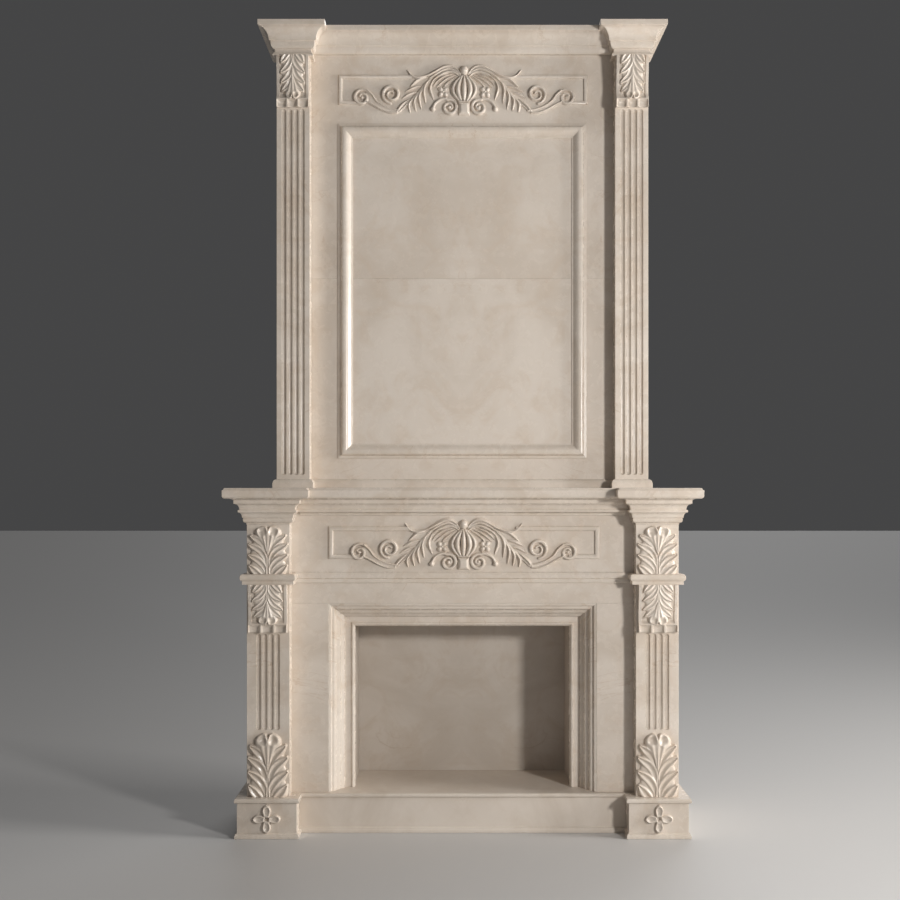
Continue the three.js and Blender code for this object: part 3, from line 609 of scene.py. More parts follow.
# %% Petals round a centre
PETAL = {"length": 51.0, "half": 15.0, "widest": 0.60, "lift": 12.0, "count": 4}
QUATREFOIL_HEIGHT = 71.0


def petal_shell():
    """One pointed petal along +X on a face at depth 0: a raised rim round a hollow."""
    along = np.concatenate([np.linspace(0.06, 1, 15), np.linspace(1, 0.06, 15)[1:-1]])
    side = np.concatenate([np.ones(15), -np.ones(13)])
    widest = PETAL["widest"]
    tip = np.sqrt(np.clip(1 - ((along - widest) / (1 - widest)) ** 2, 0, 1)) ** 1.3
    root = 0.81 - 0.19 * np.cos(np.pi * along / widest)
    bulge = np.where(along > widest, tip, root)
    steps = [(1.0, -2.0), (1.0, 3.0), (0.96, 7.0), (0.89, 10.4), (0.79, PETAL["lift"]), (0.66, 11.4),
             (0.54, 9.4), (0.42, 7.6), (0.28, 6.6), (0.12, 6.2)]
    rings = []
    for scale, lift in steps:
        x = (0.6 + (along - 0.6) * scale) * PETAL["length"]
        z = side * bulge * PETAL["half"] * scale
        rings.append(np.stack([x, np.full(len(x), -lift), z], axis=1))
    return loft(rings)


def petal_tree():
    """Sets copies of the mesh round the Y axis through a centre."""
    tree, start, end = new_tree("petals_round_a_centre", {
        "Count": ("Int", PETAL["count"]),
        "Centre": ("Vector", (0.0, 0.0, 0.0)),
    })
    points = tree.nodes.new("GeometryNodePoints")
    index = tree.nodes.new("GeometryNodeInputIndex")
    angles = tree.nodes.new("ShaderNodeCombineXYZ")
    copies, real, finish = set_on_points(tree, points.outputs[0], start.outputs["Geometry"], "plinth")
    turn = calc(tree, "DIVIDE", index.outputs[0], start.outputs["Count"])
    wire_all(tree, (
        (start.outputs["Count"], points.inputs["Count"]),
        (start.outputs["Centre"], points.inputs["Position"]),
        (calc(tree, "MULTIPLY", turn, 2 * math.pi), angles.inputs["Y"]),
        (angles.outputs[0], copies.inputs["Rotation"]),
        (real.outputs[0], finish.inputs["Geometry"]),
        (finish.outputs[0], end.inputs[0]),
    ))
    return tree


quatrefoil_centre = ((PLINTH[0] + PLINTH[1]) / 2, 0.0, QUATREFOIL_HEIGHT)
quatrefoil = grown("quatrefoil", petal_tree(), [petal_shell()], {"Centre": quatrefoil_centre})
stone_pair("plinth", [plinth_shell(), quatrefoil], "plinth")

# %% [markdown]
# ## Mantel shelf and cornice
# The shelf is a thick slab with a rounded nose over a fillet, a hollow and a lower fillet. At the
# two ends it breaks forward over the pilasters, where a neck with a hollow and a half-round band
# carries it down to the carved blocks. Between them a small moulding closes it against the frieze.
# The cornice has a fascia, a large hollow and a round.

# %% Shelf
SHELF_TOP = 1252.0
LOWER_PILASTER = (623.0, 777.0)
LOWER_PILASTER_FACE = 33.0
LOWER_WALL_FACE = 91.0


def down_from(top, outline):
    """Turns drops below a top into heights."""
    return [(overhang, top - drop) for overhang, drop in outline]


shelf_drops = [
    (62, 0), *quarter_round((70, 0.6), (76, 8), 5), *quarter_round((76, 27), (66, 38), 6), (62, 38.4),
    *hollow((58, 38.6), (41, 46)), (41, 56), (37, 56.6), *hollow((36, 58), (23, 78)),
    (28, 79.2), (28, 87),
]
neck_drops = [
    *hollow((27, 87.6), (15, 105), 8), (15, 106.5), (11, 108), (11.6, 109.5),
    *quarter_round((12.4, 112), (7, 124), 6), (2, 125.5), (1, 131.5),
]
stone_pair("shelf_capital", [
    moulded(eased(down_from(SHELF_TOP, shelf_drops)), *LOWER_PILASTER, LOWER_PILASTER_FACE, WALL_DEPTH),
    moulded(
        eased(down_from(SHELF_TOP, [(27, 86.9), *neck_drops])), *LOWER_PILASTER,
        LOWER_PILASTER_FACE, LOWER_WALL_FACE - JOINT,
    ),
], "shelf")
under_shelf_drops = [(20, 86.9), (20, 88), (11, 89), *hollow((10, 90), (3.5, 98), 6), (3.5, 99.5), (1, 101)]
stone("shelf_center_dressed", [
    moulded(
        eased(down_from(SHELF_TOP, shelf_drops)), -LOWER_PILASTER[0] + JOINT, LOWER_PILASTER[0] - JOINT,
        LOWER_WALL_FACE, WALL_DEPTH, (-1, -1),
    ),
    moulded(
        eased(down_from(SHELF_TOP, under_shelf_drops), 0.6), -LOWER_PILASTER[0] + 30, LOWER_PILASTER[0] - 30,
        LOWER_WALL_FACE, LOWER_WALL_FACE - JOINT, (0, 0),
    ),
], "shelf", ["shelf_center"])

# %% Cornice
TOTAL_HEIGHT = 2954.0
UPPER_PILASTER = (562.0, 684.0)
UPPER_PILASTER_FACE = 130.0
UPPER_WALL_FACE = 185.0

cornice_drops = [
    (61, 0), (61, 18), *hollow((57, 20), (25.5, 62), 14), (20, 63.4),
    *quarter_round((20, 65), (9, 89), 10),
]
cornice_neck_drops = [
    (9, 88), (6, 89), (6, 101), (8, 102.6), *quarter_round((11, 103.4), (13.8, 109), 4),
    *quarter_round((13.8, 110), (11, 116), 4),
]
stone_pair("upper_capital", [
    moulded(
        eased(down_from(TOTAL_HEIGHT, cornice_drops)), *UPPER_PILASTER, UPPER_PILASTER_FACE, WALL_DEPTH,
    ),
    moulded(
        eased(down_from(TOTAL_HEIGHT, cornice_neck_drops)), *UPPER_PILASTER,
        UPPER_PILASTER_FACE, UPPER_WALL_FACE - JOINT,
    ),
], "shelf")
stone("cornice_center_dressed", [moulded(
    eased(down_from(TOTAL_HEIGHT, cornice_drops)), -UPPER_PILASTER[0] + JOINT, UPPER_PILASTER[0] - JOINT,
    UPPER_WALL_FACE, WALL_DEPTH, (-1, -1),
)], "shelf", ["cornice_center"])

# %% [markdown]
# ## Narrow courses
# A band wraps each pilaster between its console and the carved block over it, and a thinner
# course runs between the two bands. The overmantel starts on a course with a small flare.

# %% Courses
NECKING_TOP = 943.0
NECKING_BOTTOM = 905.0
SLAB = 30.0

necking_edge = eased([
    (12, NECKING_TOP - JOINT), *[
        (14.5 + 8 * math.sin(t), NECKING_TOP - 13 + 12.6 * math.cos(t)) for t in np.linspace(0.1, 3.0, 14)
    ], (15.5, NECKING_TOP - 26.5),
    (15.5, NECKING_BOTTOM + JOINT),
])
stone_pair("necking_band", [
    moulded(necking_edge, *LOWER_PILASTER, LOWER_PILASTER_FACE, LOWER_WALL_FACE - JOINT),
], "shelf")


def course(node, half, face, edge, finish):
    """A moulded front between two neighbours on a plain slab that runs on behind them."""
    low, high = span(node)
    front = moulded(edge, -half, half, face, face + SLAB / 2, (0, 0))
    behind = moulded(block_edge(high[2], low[2], 0.4), low[0], high[0], face, face + SLAB, (0, 0))
    stone(f"{node}_dressed", [front, behind], finish, [node])


string_top = span("string_course")[1][2]
course("string_course", LOWER_PILASTER[0] - 12, LOWER_WALL_FACE, eased([
    (1.5, string_top), *quarter_round((3.5, NECKING_TOP), (6.2, NECKING_TOP - 5), 4),
    (6.2, NECKING_TOP - 19), (1.5, NECKING_TOP - 21.5), (4.2, NECKING_TOP - 24),
    (4.2, NECKING_BOTTOM + 3), (1.5, NECKING_BOTTOM + JOINT),
]), "frieze")

base_top = span("overmantel_base")[1][2]
foot_edge = eased([
    *hollow((0.3, base_top + 0.3), (13, SHELF_TOP + 19), 8), (14, SHELF_TOP + 18.5),
    (14, SHELF_TOP + JOINT),
])
course("overmantel_base", UPPER_PILASTER[0] - 5, UPPER_WALL_FACE, foot_edge, "frieze")
print("courses done, faces so far", totals["faces"])

# %% [markdown]
# ## Frames
# The firebox opening has a deep stepped frame of three members that meet at mitres, and the
# overmantel has a raised frame of four. A member is its outline drawn twice, once at each end,
# with every point moved along by its own distance from the outer edge, which makes the mitre.

# %% Mitred members
MITRE_GAP = 0.15


def member(outline, side, half, bottom, top, face, square_foot=False):
    """One frame member. The outline holds (inset from the outer edge, depth behind the face)."""
    ends = []
    for end in (0, 1):
        ring = []
        for inset, depth in outline:
            foot = bottom if square_foot else bottom + inset
            if side in ("left", "right"):
                x = (half - inset) * (1 if side == "right" else -1)
                z = foot + (0 if square_foot else MITRE_GAP) if end == 0 else top - inset - MITRE_GAP
            else:
                x = (half - inset - MITRE_GAP) * (-1, 1)[end]
                z = top - inset if side == "top" else bottom + inset
            ring.append((x, face + depth, z))
        ends.append(ring)
    return loft(ends)


# %% Firebox frame
OPENING_HALF = 398.0
LINTEL_BOTTOM = 831.0
FRAME_WIDTH = 91.0
FRAME_DEPTH = 110.0

firebox_outline = eased([
    (0, 0.2), (8.5, 3), (9.6, 4.5), (10.6, 12), (12, 13), *hollow((13, 13.5), (22, 18), 5), (24, 20),
    (27, 32), (29, 33.5), (37, 38.5), (39, 40.5), (41, 53), (43, 55), (50.5, 60), (52.5, 62.5), (54, 75),
    (56, 74.5), (77.4, 77), *[
        (82.4 - 5 * math.cos(t), 75.5 - 5 * math.sin(t)) for t in np.linspace(0.1, math.pi - 0.1, 9)
    ], (88, 77), (FRAME_WIDTH, 80), (FRAME_WIDTH, FRAME_DEPTH), (0, FRAME_DEPTH),
], 0.7, closed=True)
for side in ("left", "right", "top"):
    stone(f"firebox_frame_{side}_dressed", [member(
        firebox_outline, side, OPENING_HALF + FRAME_WIDTH, HEARTH_TOP + JOINT, LINTEL_BOTTOM,
        LOWER_WALL_FACE, square_foot=True,
    )], "frame", [f"firebox_frame_{side}"])

# %% Overmantel frame
PANEL_HALF = 462.0
PANEL_BOTTOM, PANEL_TOP = 1362.0, 2609.0

large_outline = eased([
    (0, -JOINT), (0, -5), (8.5, -6.2), (11, -8), *quarter_round((13, -13.5), (23, -20), 6), (29, -20),
    (34, -18.2), (41, -13), (47, -6.5), (49, -4), (53.5, -3.4), (54, -JOINT),
], 0.7, closed=True)
for side in ("left", "right", "top", "bottom"):
    stone(f"panel_frame_{side}_dressed", [member(
        large_outline, side, PANEL_HALF, PANEL_BOTTOM, PANEL_TOP, UPPER_WALL_FACE,
    )], "frame", [f"panel_frame_{side}"])
print("frames done, faces so far", totals["faces"])

# %% [markdown]
# ## Carved relief
# A carver lowers the ground and leaves strokes standing. The same idea in numbers is a height
# field: a fine grid over the face, and for every stroke the height that each grid point gets from
# it. Where two strokes cross, the higher one wins, which leaves the crisp valleys that a chisel
# leaves. Outside every stroke the field dips just below the face of the stone, so that only the
# carving shows.

# %% Height fields
SUNK = -1.6
WALL_SLOPE = 2.4
BACKING = 6.0


def relief_field(left, right, bottom, top, step):
    """A grid over a face, in millimetres, with its height under the surface."""
    across = np.linspace(left, right, int(round((right - left) / step)) + 1)
    up = np.linspace(bottom, top, int(round((top - bottom) / step)) + 1)
    x, z = np.meshgrid(across, up)
    return {"x": x, "z": z, "h": np.full(x.shape, SUNK)}


def lifted(field, mask, height):
    """Keeps the higher of what stands there and the new stroke."""
    field["h"][mask] = np.maximum(field["h"][mask], np.maximum(height, SUNK))


def as_profile(value):
    """A number becomes the same value all along the stroke."""
    return value if callable(value) else (lambda t: np.full_like(t, value))


def round_section(s):
    """A half round across the stroke."""
    return np.sqrt(np.clip(1 - s ** 2, 0, 1))


def stroke(field, path, half, lift, section=round_section):
    """Raises one stroke along a path, and its mirror image about the centre line. half and lift
    follow the stroke from 0 to 1; section gives the height across it from -1 to +1."""
    path = np.asarray(path, float)
    half, lift = as_profile(half), as_profile(lift)
    samples = np.linspace(0, 1, 9)
    reach = float(np.max(half(samples))) + 2.0
    x = np.abs(field["x"])
    z = field["z"]
    low, high = path.min(0) - reach, path.max(0) + reach
    mask = (x > low[0]) & (x < high[0]) & (z > low[1]) & (z < high[1])
    px, pz = x[mask], z[mask]
    if px.size == 0:
        return
    runs = np.diff(path, axis=0)
    lengths = np.maximum(np.hypot(runs[:, 0], runs[:, 1]), 1e-9)
    starts = np.concatenate([[0], np.cumsum(lengths)])
    nearest = np.full(px.shape, np.inf)
    along, side = np.zeros(px.shape), np.ones(px.shape)
    for (ax, az), (dx, dz), length, begun in zip(path[:-1], runs, lengths, starts):
        t = np.clip(((px - ax) * dx + (pz - az) * dz) / length ** 2, 0, 1)
        off_x, off_z = px - ax - t * dx, pz - az - t * dz
        distance = np.hypot(off_x, off_z)
        closer = distance < nearest
        nearest[closer] = distance[closer]
        along[closer] = (begun + t[closer] * length) / starts[-1]
        side[closer] = np.where(dx * off_z - dz * off_x >= 0, 1.0, -1.0)[closer]
    width = np.maximum(half(along), 0.3)
    share = nearest / width
    inside = lift(along) * section(np.clip(share, 0, 1) * side)
    lifted(field, mask, np.where(share < 1, inside, -(nearest - width) * WALL_SLOPE))


def dome(field, centre, radii, lift, turn=0.0):
    """Raises a ball, an egg or a petal."""
    x = np.abs(field["x"]) - centre[0]
    z = field["z"] - centre[1]
    u = x * math.cos(turn) + z * math.sin(turn)
    v = -x * math.sin(turn) + z * math.cos(turn)
    rho = np.sqrt((u / radii[0]) ** 2 + (v / radii[1]) ** 2)
    mask = rho < 1.6
    height = np.where(
        rho < 1, lift * np.clip(1 - rho ** 2, 0, 1) ** 0.5, -(rho - 1) * min(radii) * WALL_SLOPE,
    )
    lifted(field, mask, height[mask])


def bend(points, steps=24):
    """A smooth curve through points: a cubic through each stretch, with natural ends."""
    points = np.asarray(points, float)
    padded = np.vstack([2 * points[0] - points[1], points, 2 * points[-1] - points[-2]])
    done = []
    for i in range(len(points) - 1):
        p0, p1, p2, p3 = padded[i:i + 4]
        for t in np.linspace(0, 1, max(steps // (len(points) - 1), 3), endpoint=False):
            done.append(0.5 * (2 * p1 + (p2 - p0) * t + (2 * p0 - 5 * p1 + 4 * p2 - p3) * t ** 2
                               + (3 * p1 - p0 - 3 * p2 + p3) * t ** 3))
    return np.vstack([done, points[-1:]])


def swell(widest, ends, peak=0.5):
    """Grows from the ends to the widest value at peak."""
    power = math.log(0.5) / math.log(peak)
    return lambda t: ends + (widest - ends) * np.sin(np.pi * np.clip(t, 0, 1) ** power) ** 0.8


def softened(height):
    """Rubs the field as a polisher would: each point moves towards its neighbours' mean."""
    padded = np.pad(height, 1, mode="edge")
    ring = padded[:-2, 1:-1] + padded[2:, 1:-1] + padded[1:-1, :-2] + padded[1:-1, 2:]
    return 0.5 * height + 0.125 * ring


def flat(face):
    """A ground that lies in one plane."""
    return lambda x, z: np.full_like(x, face)


def relief_shell(field, ground):
    """A closed shell whose front is the carved field over a ground depth(x, z)."""
    x, z, height = field["x"], field["z"], softened(field["h"])
    rows, columns = x.shape
    base = ground(x, z)
    front = np.stack([x, base - height, z], axis=-1).reshape(-1, 3)
    index = np.arange(rows * columns).reshape(rows, columns)
    quads = np.stack([index[:-1, :-1], index[:-1, 1:], index[1:, 1:], index[1:, :-1]], axis=-1)
    corners = [(0, 0), (0, columns - 1), (rows - 1, columns - 1), (rows - 1, 0)]
    deepest = float(base.max()) + BACKING
    back = np.array([[x[r, c], deepest, z[r, c]] for r, c in corners])
    first = rows * columns
    edges = [index[0, :], index[:, -1], index[-1, ::-1], index[::-1, 0]]
    faces = quads.reshape(-1, 4).tolist()
    for i, edge in enumerate(edges):
        faces.append([first + i, first + (i + 1) % 4, *edge[::-1].tolist()])
    faces.append([first + 3, first + 2, first + 1, first])
    return shell(np.vstack([front, back]), faces)


print("relief helpers ready")

# %% [markdown]
# ## Frieze ornament
# Both storeys bear the same ornament: a gadrooned urn with a knob, wings that sweep out from it,
# leaves that hang from a bent stem, and pairs of scrolls. It is symmetric, so the strokes are laid
# out for the right half only, and the grid is folded about the centre line.

# %% Strokes of the ornament
ORNAMENT_HALF = 418.0
ORNAMENT_UP, ORNAMENT_DOWN = 98.0, 99.0
ORNAMENT_STEP = 1.55


def scroll(centre, radius, eye, start, turns, steps=54):
    """A spiral line that winds in from radius to eye."""
    t = np.linspace(0, 1, steps)
    angle = start + t * turns * 2 * math.pi
    r = radius + (eye - radius) * t ** 1.25
    return np.stack([centre[0] + r * np.cos(angle), centre[1] + r * np.sin(angle)], axis=1)


def band_section(s):
    """A scroll band: round, with a shallow channel along its middle."""
    return np.sqrt(np.clip(1 - s ** 2, 0, 1)) * (1 - 0.16 * np.exp(-(s / 0.26) ** 2))


def leaf_section(s):
    """A leaf: two slopes that rise to a crest off the middle."""
    return np.where(s > -0.15, (1 - s) / 1.15, (1 + s) / 0.85).clip(0, 1) ** 0.62


def block(field, centre, half_width, half_height, lift):
    """Raises a square block with rounded edges."""
    out = np.maximum(
        (np.abs(np.abs(field["x"]) - centre[0])) - half_width, np.abs(field["z"] - centre[1]) - half_height,
    )
    mask = out < 2
    height = np.where(out < 0, lift * np.sqrt(np.clip(-out / 11, 0, 1)), -out * WALL_SLOPE)
    lifted(field, mask, height[mask])


RAILS = [
    [(236, -78), (272, -71), (301, -60), (327, -42), (343, -20), (362, -3)],
    [(249, -86), (275, -86), (307, -75), (337, -58), (362, -46)],
]


def carve_scrolls(field):
    """The three scrolls of one side, with the bands that lead to them."""
    stroke(
        field, bend([(243, -82), (273, -79), (304, -67), (330, -50), (345, -34), (358, -24)], 30),
        lambda t: 3 + 15 * t, 5.0, lambda s: np.clip(1 - np.abs(s) ** 6, 0, 1) ** 0.5,
    )
    far = scroll((380, -30), 30, 10, 2.10, -1.25)
    stroke(
        field, far, lambda t: 4.2 + 2.2 * np.sin(np.pi * t), lambda t: 12 + 3 * np.sin(np.pi * t),
        band_section,
    )
    dome(field, (380, -30), (7.0, 7.0), 12)
    for rail in RAILS:
        stroke(field, bend(rail, 30), lambda t: 2.8 + 1.8 * t, lambda t: 10 + 4 * t)
    large = scroll((270, -18), 34, 8, -1.45, 1.62)
    stroke(
        field, large, lambda t: 4.4 + 2.6 * np.sin(np.pi * np.clip(t * 1.25, 0, 1)) ** 1.2,
        lambda t: 12 + 3.5 * np.sin(np.pi * t), band_section,
    )
    inner = np.vstack([
        bend([(115, -66), (105, -49), (86, -37), (68, -35)], 12), scroll((55, -66), 29, 6.5, 1.30, 1.50),
    ])
    stroke(field, inner, lambda t: 4.8 + 2.0 * np.sin(np.pi * t), lambda t: 13.5 - 2 * t, band_section)
    dome(field, (55, -66), (7.5, 7.5), 13)
    dome(field, (116, -72), (10, 10), 15)


def carve_wings(field):
    """The three feathers of one wing; the longest ends in an upturned tip."""
    stroke(
        field, bend([(15, 60), (32, 79), (52, 88), (76, 84), (102, 70), (128, 56), (154, 48), (178, 46),
                     (197, 54), (212, 74)], 54),
        lambda t: 3.4 + 5.0 * np.sin(np.pi * np.clip(t * 1.6, 0, 1))
        + 4.0 * np.exp(-((t - 0.80) / 0.12) ** 2) - 2.4 * t ** 8,
        lambda t: 11 + 5 * np.sin(np.pi * t), leaf_section,
    )
    second = [(16, 56), (34, 70), (56, 77), (82, 70), (108, 55), (132, 41)]
    third = [(18, 50), (36, 63), (58, 66), (84, 58), (112, 42)]
    stroke(field, bend(second), swell(5.2, 2), swell(13, 7))
    stroke(field, bend(third), swell(4.8, 2), swell(12, 6))


FAN = [
    [(26, 50), (48, 36), (68, 20), (82, -2)], [(34, 54), (62, 42), (84, 26), (104, 8)],
    [(46, 58), (76, 48), (98, 33), (114, 14)], [(62, 60), (92, 52), (112, 38), (124, 22)],
]
HANGING = [
    [(116, 34), (127, 2), (114, -38)], [(132, 38), (150, 0), (144, -50)],
    [(150, 12), (168, -26), (160, -72)], [(168, -10), (186, -42), (180, -79)],
    [(186, -28), (206, -56), (202, -84)], [(202, -34), (230, -56), (254, -85)],
]
OUTER = [
    [(136, 46), (170, 38), (202, 10)], [(152, 16), (186, 8), (220, -8)], [(170, -8), (202, -16), (232, -34)],
]


def carve_leaves(field):
    """Leaves that fan out below the wing, hang from the stem and stand off its other side."""
    stroke(field, bend([(120, 44), (146, 20), (168, -8), (196, -38), (240, -80)]), swell(5.0, 2.4), 8)
    for leaves, wide, high in (
        (FAN, swell(4.6, 1.6), swell(12, 6)),
        (HANGING, swell(6.8, 1.4, 0.56), swell(13.5, 6)),
        (OUTER, swell(6.6, 1.4, 0.56), swell(12, 5)),
    ):
        for points in leaves:
            stroke(field, bend(points, 18), wide, high, leaf_section)


ROSETTE = {"centre": (78, -9), "reach": 12.5, "petal": (11.2, 9.6), "lift": 13}


def carve_rosette(field):
    """Four round petals and a bud between the wing and the inner scroll."""
    across, up = ROSETTE["centre"]
    for turn in range(4):
        angle = math.pi / 4 + turn * math.pi / 2
        reach = ROSETTE["reach"]
        centre = (across + reach * math.cos(angle), up + reach * math.sin(angle))
        dome(field, centre, ROSETTE["petal"], ROSETTE["lift"], turn=angle)
    dome(field, (across, up), (4.8, 4.8), ROSETTE["lift"])


URN_TOP, URN_BOTTOM = 52.0, -44.0
GADROONS = [(0.0, 0.235, 1.0), (0.47, 0.215, 0.90), (0.86, 0.15, 0.66)]


def urn_half(v):
    """Half the urn's width at a height."""
    t = np.clip((v - URN_BOTTOM) / (URN_TOP - URN_BOTTOM), 0, 1)
    return 20 * (1 - t) + 11 * t + 33 * np.sin(np.pi * t ** 0.95)


def carve_urn(field):
    """The gadrooned urn with its knob, collars and foot."""
    heights = np.linspace(URN_BOTTOM, URN_TOP, 26)
    for share, wide, bulge in GADROONS:
        path = np.stack([share * urn_half(heights), heights], axis=1)
        stroke(
            field, path,
            lambda t, wide=wide: urn_half(URN_BOTTOM + t * (URN_TOP - URN_BOTTOM)) * wide,
            lambda t, bulge=bulge: 9 + 11 * bulge * np.sin(np.pi * np.clip(t, 0.05, 0.95)) ** 0.7,
        )
    block(field, (0, -71), 22, 24, 15)
    stroke(field, [(0, URN_BOTTOM - 2), (21, URN_BOTTOM - 2)], 3.4, 16)
    stroke(field, [(0, URN_BOTTOM - 9), (19, URN_BOTTOM - 9)], 2.8, 15.5)
    dome(field, (0, 71), (16.5, 18.0), 20)


def ornament_shell(middle, centre_height, face):
    """The whole ornament as one closed shell on a face."""
    field = relief_field(-ORNAMENT_HALF, ORNAMENT_HALF, -ORNAMENT_DOWN, ORNAMENT_UP, ORNAMENT_STEP)
    for carve in (carve_leaves, carve_wings, carve_rosette, carve_scrolls, carve_urn):
        carve(field)
    field["x"] = field["x"] + middle
    field["z"] = field["z"] + centre_height
    return relief_shell(field, flat(face))


# %% [markdown]
# ## Beaded panels
# A long panel lies behind the ornament, drawn by a half-round bead. The carver stops the bead
# where the ornament begins: it runs from under one wing's tip round the end of the panel to the
# outermost scroll. So each end of the panel is one swept half round with two mitred corners. In the
# picture beads and ornament appear a few millimetres off the middle, which may be the carving or
# the fitted camera. The numbers shift and carving follow the picture.

# %% Panel ends
BEAD_LIFT = 8.0
BEAD_ENDS = {"wing": 190.0, "scroll": 382.0}


def bead_shell(panel, face):
    """The half-round bead round the right end of a panel."""
    half, bottom, top, width = (panel[key] for key in ("half", "bottom", "top", "width"))
    turns = np.linspace(0, math.pi, 13)
    section = [(width / 2 * (1 - math.cos(t)), BEAD_LIFT * math.sin(t) ** 0.8) for t in turns]
    section = [(0.0, -2.0), *section, (width, -2.0)]
    rings = []
    for x, z, in_x, in_z in (
        (BEAD_ENDS["wing"], top, 0, -1), (half, top, -1, -1), (half, bottom, -1, 1),
        (BEAD_ENDS["scroll"], bottom, 0, 1),
    ):
        rings.append([(x + inset * in_x, face - rise, z + inset * in_z) for inset, rise in section])
    return loft(rings)


# %% Frieze and upper slab
LOWER_PANEL = {
    "half": 494.0, "bottom": 993.0, "top": 1113.0, "width": 18.0, "shift": 5.0, "carving": (3.5, -5.0),
}
UPPER_PANEL = {
    "half": 464.0, "bottom": 2679.0, "top": 2791.0, "width": 15.0, "shift": 2.5, "carving": (7.0, 0.0),
}


def carved_slab(node, panel, face, finish):
    """A slab with its beaded panel and ornament."""
    low, high = span(node)
    low[1], high[1] = face, face + SLAB
    sideways, upwards = panel["carving"]
    middle = (panel["bottom"] + panel["top"]) / 2 + upwards
    end = bead_shell(panel, face)
    ends = [(points + [panel["shift"], 0, 0], faces) for points, faces in [end, *mirrored([end])]]
    stone(f"{node}_dressed", [
        slab_shell(low, high), *ends, ornament_shell(sideways, middle, face),
    ], finish, [node])


carved_slab("frieze_lower", LOWER_PANEL, LOWER_WALL_FACE, "frieze")
carved_slab("overmantel_slab_upper", UPPER_PANEL, UPPER_WALL_FACE, "wall")
print("carved slabs done, faces so far", totals["faces"])

# %% [markdown]
# ## Acanthus leaves
# The leaf is the commonest ornament of the style. A midrib rises from the foot, four pairs of
# lobes leave it steeply and bend outwards, each with two ridges and a gouged channel, and the tip
# is one broad fan with a pressed hollow on each side and a cleft in the middle. One function carves
# every leaf: upright on the blocks and at the foot of the pilasters, hanging on the consoles.

# %% Leaf strokes
LOBES = [
    [(0.10, -0.14), (0.30, -0.06), (0.60, 0.04), (0.93, 0.17)],
    [(0.06, -0.06), (0.16, 0.12), (0.46, 0.27), (0.96, 0.39)],
    [(0.05, 0.14), (0.14, 0.32), (0.40, 0.48), (0.95, 0.61)],
    [(0.05, 0.34), (0.14, 0.52), (0.38, 0.66), (0.86, 0.79)],
]
HEART = [(0.40, 0.0), (0.46, 0.10), (0.60, 0.25), (0.70, 0.45), (0.78, 0.61), (0.84, 0.68), (0.90, 0.66),
         (0.95, 0.53), (1.0, 0.24)]
SHEET = [(0.0, 0.80), (0.10, 0.90), (0.20, 0.90), (0.27, 0.84), (0.41, 0.93), (0.48, 0.84), (0.60, 0.88),
         (0.67, 0.74), (0.79, 0.76), (0.84, 0.62), (0.90, 0.0)]


def lobe_section(s):
    """Two ridges with a gouged channel between them."""
    ridges = 0.78 - 0.20 * np.cos(2 * math.pi * s) + 0.11 * s
    return np.clip(1 - np.abs(s) ** 2.6, 0, 1) ** 0.6 * ridges


def stem_section(s):
    """Two ridges that close the leaf's middle, with a fine groove between them."""
    return np.clip(1 - np.abs(s) ** 2.4, 0, 1) ** 0.5 * (1 - 0.42 * np.exp(-(s / 0.24) ** 2))


def carve_acanthus(height, width, lift, step):
    """A leaf that stands on the origin, as a height field over its own window."""
    field = relief_field(-width / 2 - 3, width / 2 + 3, 0, height + 2, step)
    across, up = np.abs(field["x"]), field["z"]
    edge = np.interp(up / height, *zip(*SHEET)) * width / 2
    sheet = lift * 0.50 * np.clip(1 - (across / np.maximum(edge, 1)) ** 8, 0, 1) ** 0.5
    everywhere = np.ones(up.shape, bool)
    lifted(field, everywhere, np.where(across < edge, sheet, SUNK).ravel())

    def grown_to_size(points):
        return bend([(u * width / 2, v * height) for u, v in points], 30)

    pitch = 0.195 * height
    for k, points in enumerate(LOBES):
        stroke(
            field, grown_to_size(points),
            lambda t: pitch * 0.58 * (0.24 + 0.76 * np.sin(np.pi * t ** 1.1 * 0.84)) * (1 - 0.5 * t ** 8),
            lambda t, k=k: lift * (0.56 + 0.32 * np.sin(0.5 * np.pi * np.clip(t / 0.7, 0, 1)) - 0.01 * k),
            lobe_section,
        )
    u, v = across / (width / 2), up / height
    reach = np.interp(v, *zip(*HEART))
    share = u / np.maximum(reach, 0.01)
    crown = np.clip((0.985 + 0.05 * u - v - 0.035 * np.exp(-(u / 0.07) ** 2)) / 0.07, 0, 1)
    fan = np.arctan2(u * width / 2, (v - 0.36) * height)
    body = lift * (0.80 + 0.36 * v ** 2) * (1 - np.clip(share, 0, 1) ** 4) ** 0.5
    body *= (1 - (1 - crown) ** 2) ** 0.5
    body *= 0.94 + 0.06 * np.cos(fan * 2 * math.pi / 0.21)
    ear = np.hypot((u - 0.28) * width / 2, (v - 0.90) * height * 0.8) / (0.17 * width / 2)
    body -= lift * (0.62 * np.exp(-ear ** 2) - 0.10 * np.exp(-((ear - 1.5) / 0.4) ** 2))
    body -= lift * 0.34 * np.exp(-(u / 0.05) ** 2) * np.clip((v - 0.86) / 0.08, 0, 1)
    lifted(field, everywhere, np.where((share < 1) & (crown > 0) & (v > 0.40), body, SUNK).ravel())
    stroke(
        field, [(0, -4), (0, 0.4 * height), (0, 0.62 * height)],
        lambda t: width * (0.085 - 0.055 * t), lambda t: lift * (0.78 - 0.08 * t), stem_section,
    )
    return field


def leaf_shell(middle, foot, grows, ground, step=1.05, **leaf):
    """A leaf on the stone: foot is the height it grows from, up (+1) or down (-1)."""
    field = carve_acanthus(step=step, **leaf)
    field["x"] = field["x"] + middle
    field["z"] = foot + grows * field["z"]
    return relief_shell(field, ground)


# %% Leaf blocks
CAPITAL_BOTTOM = SHELF_TOP - 131.5
pilaster_middle = sum(LOWER_PILASTER) / 2

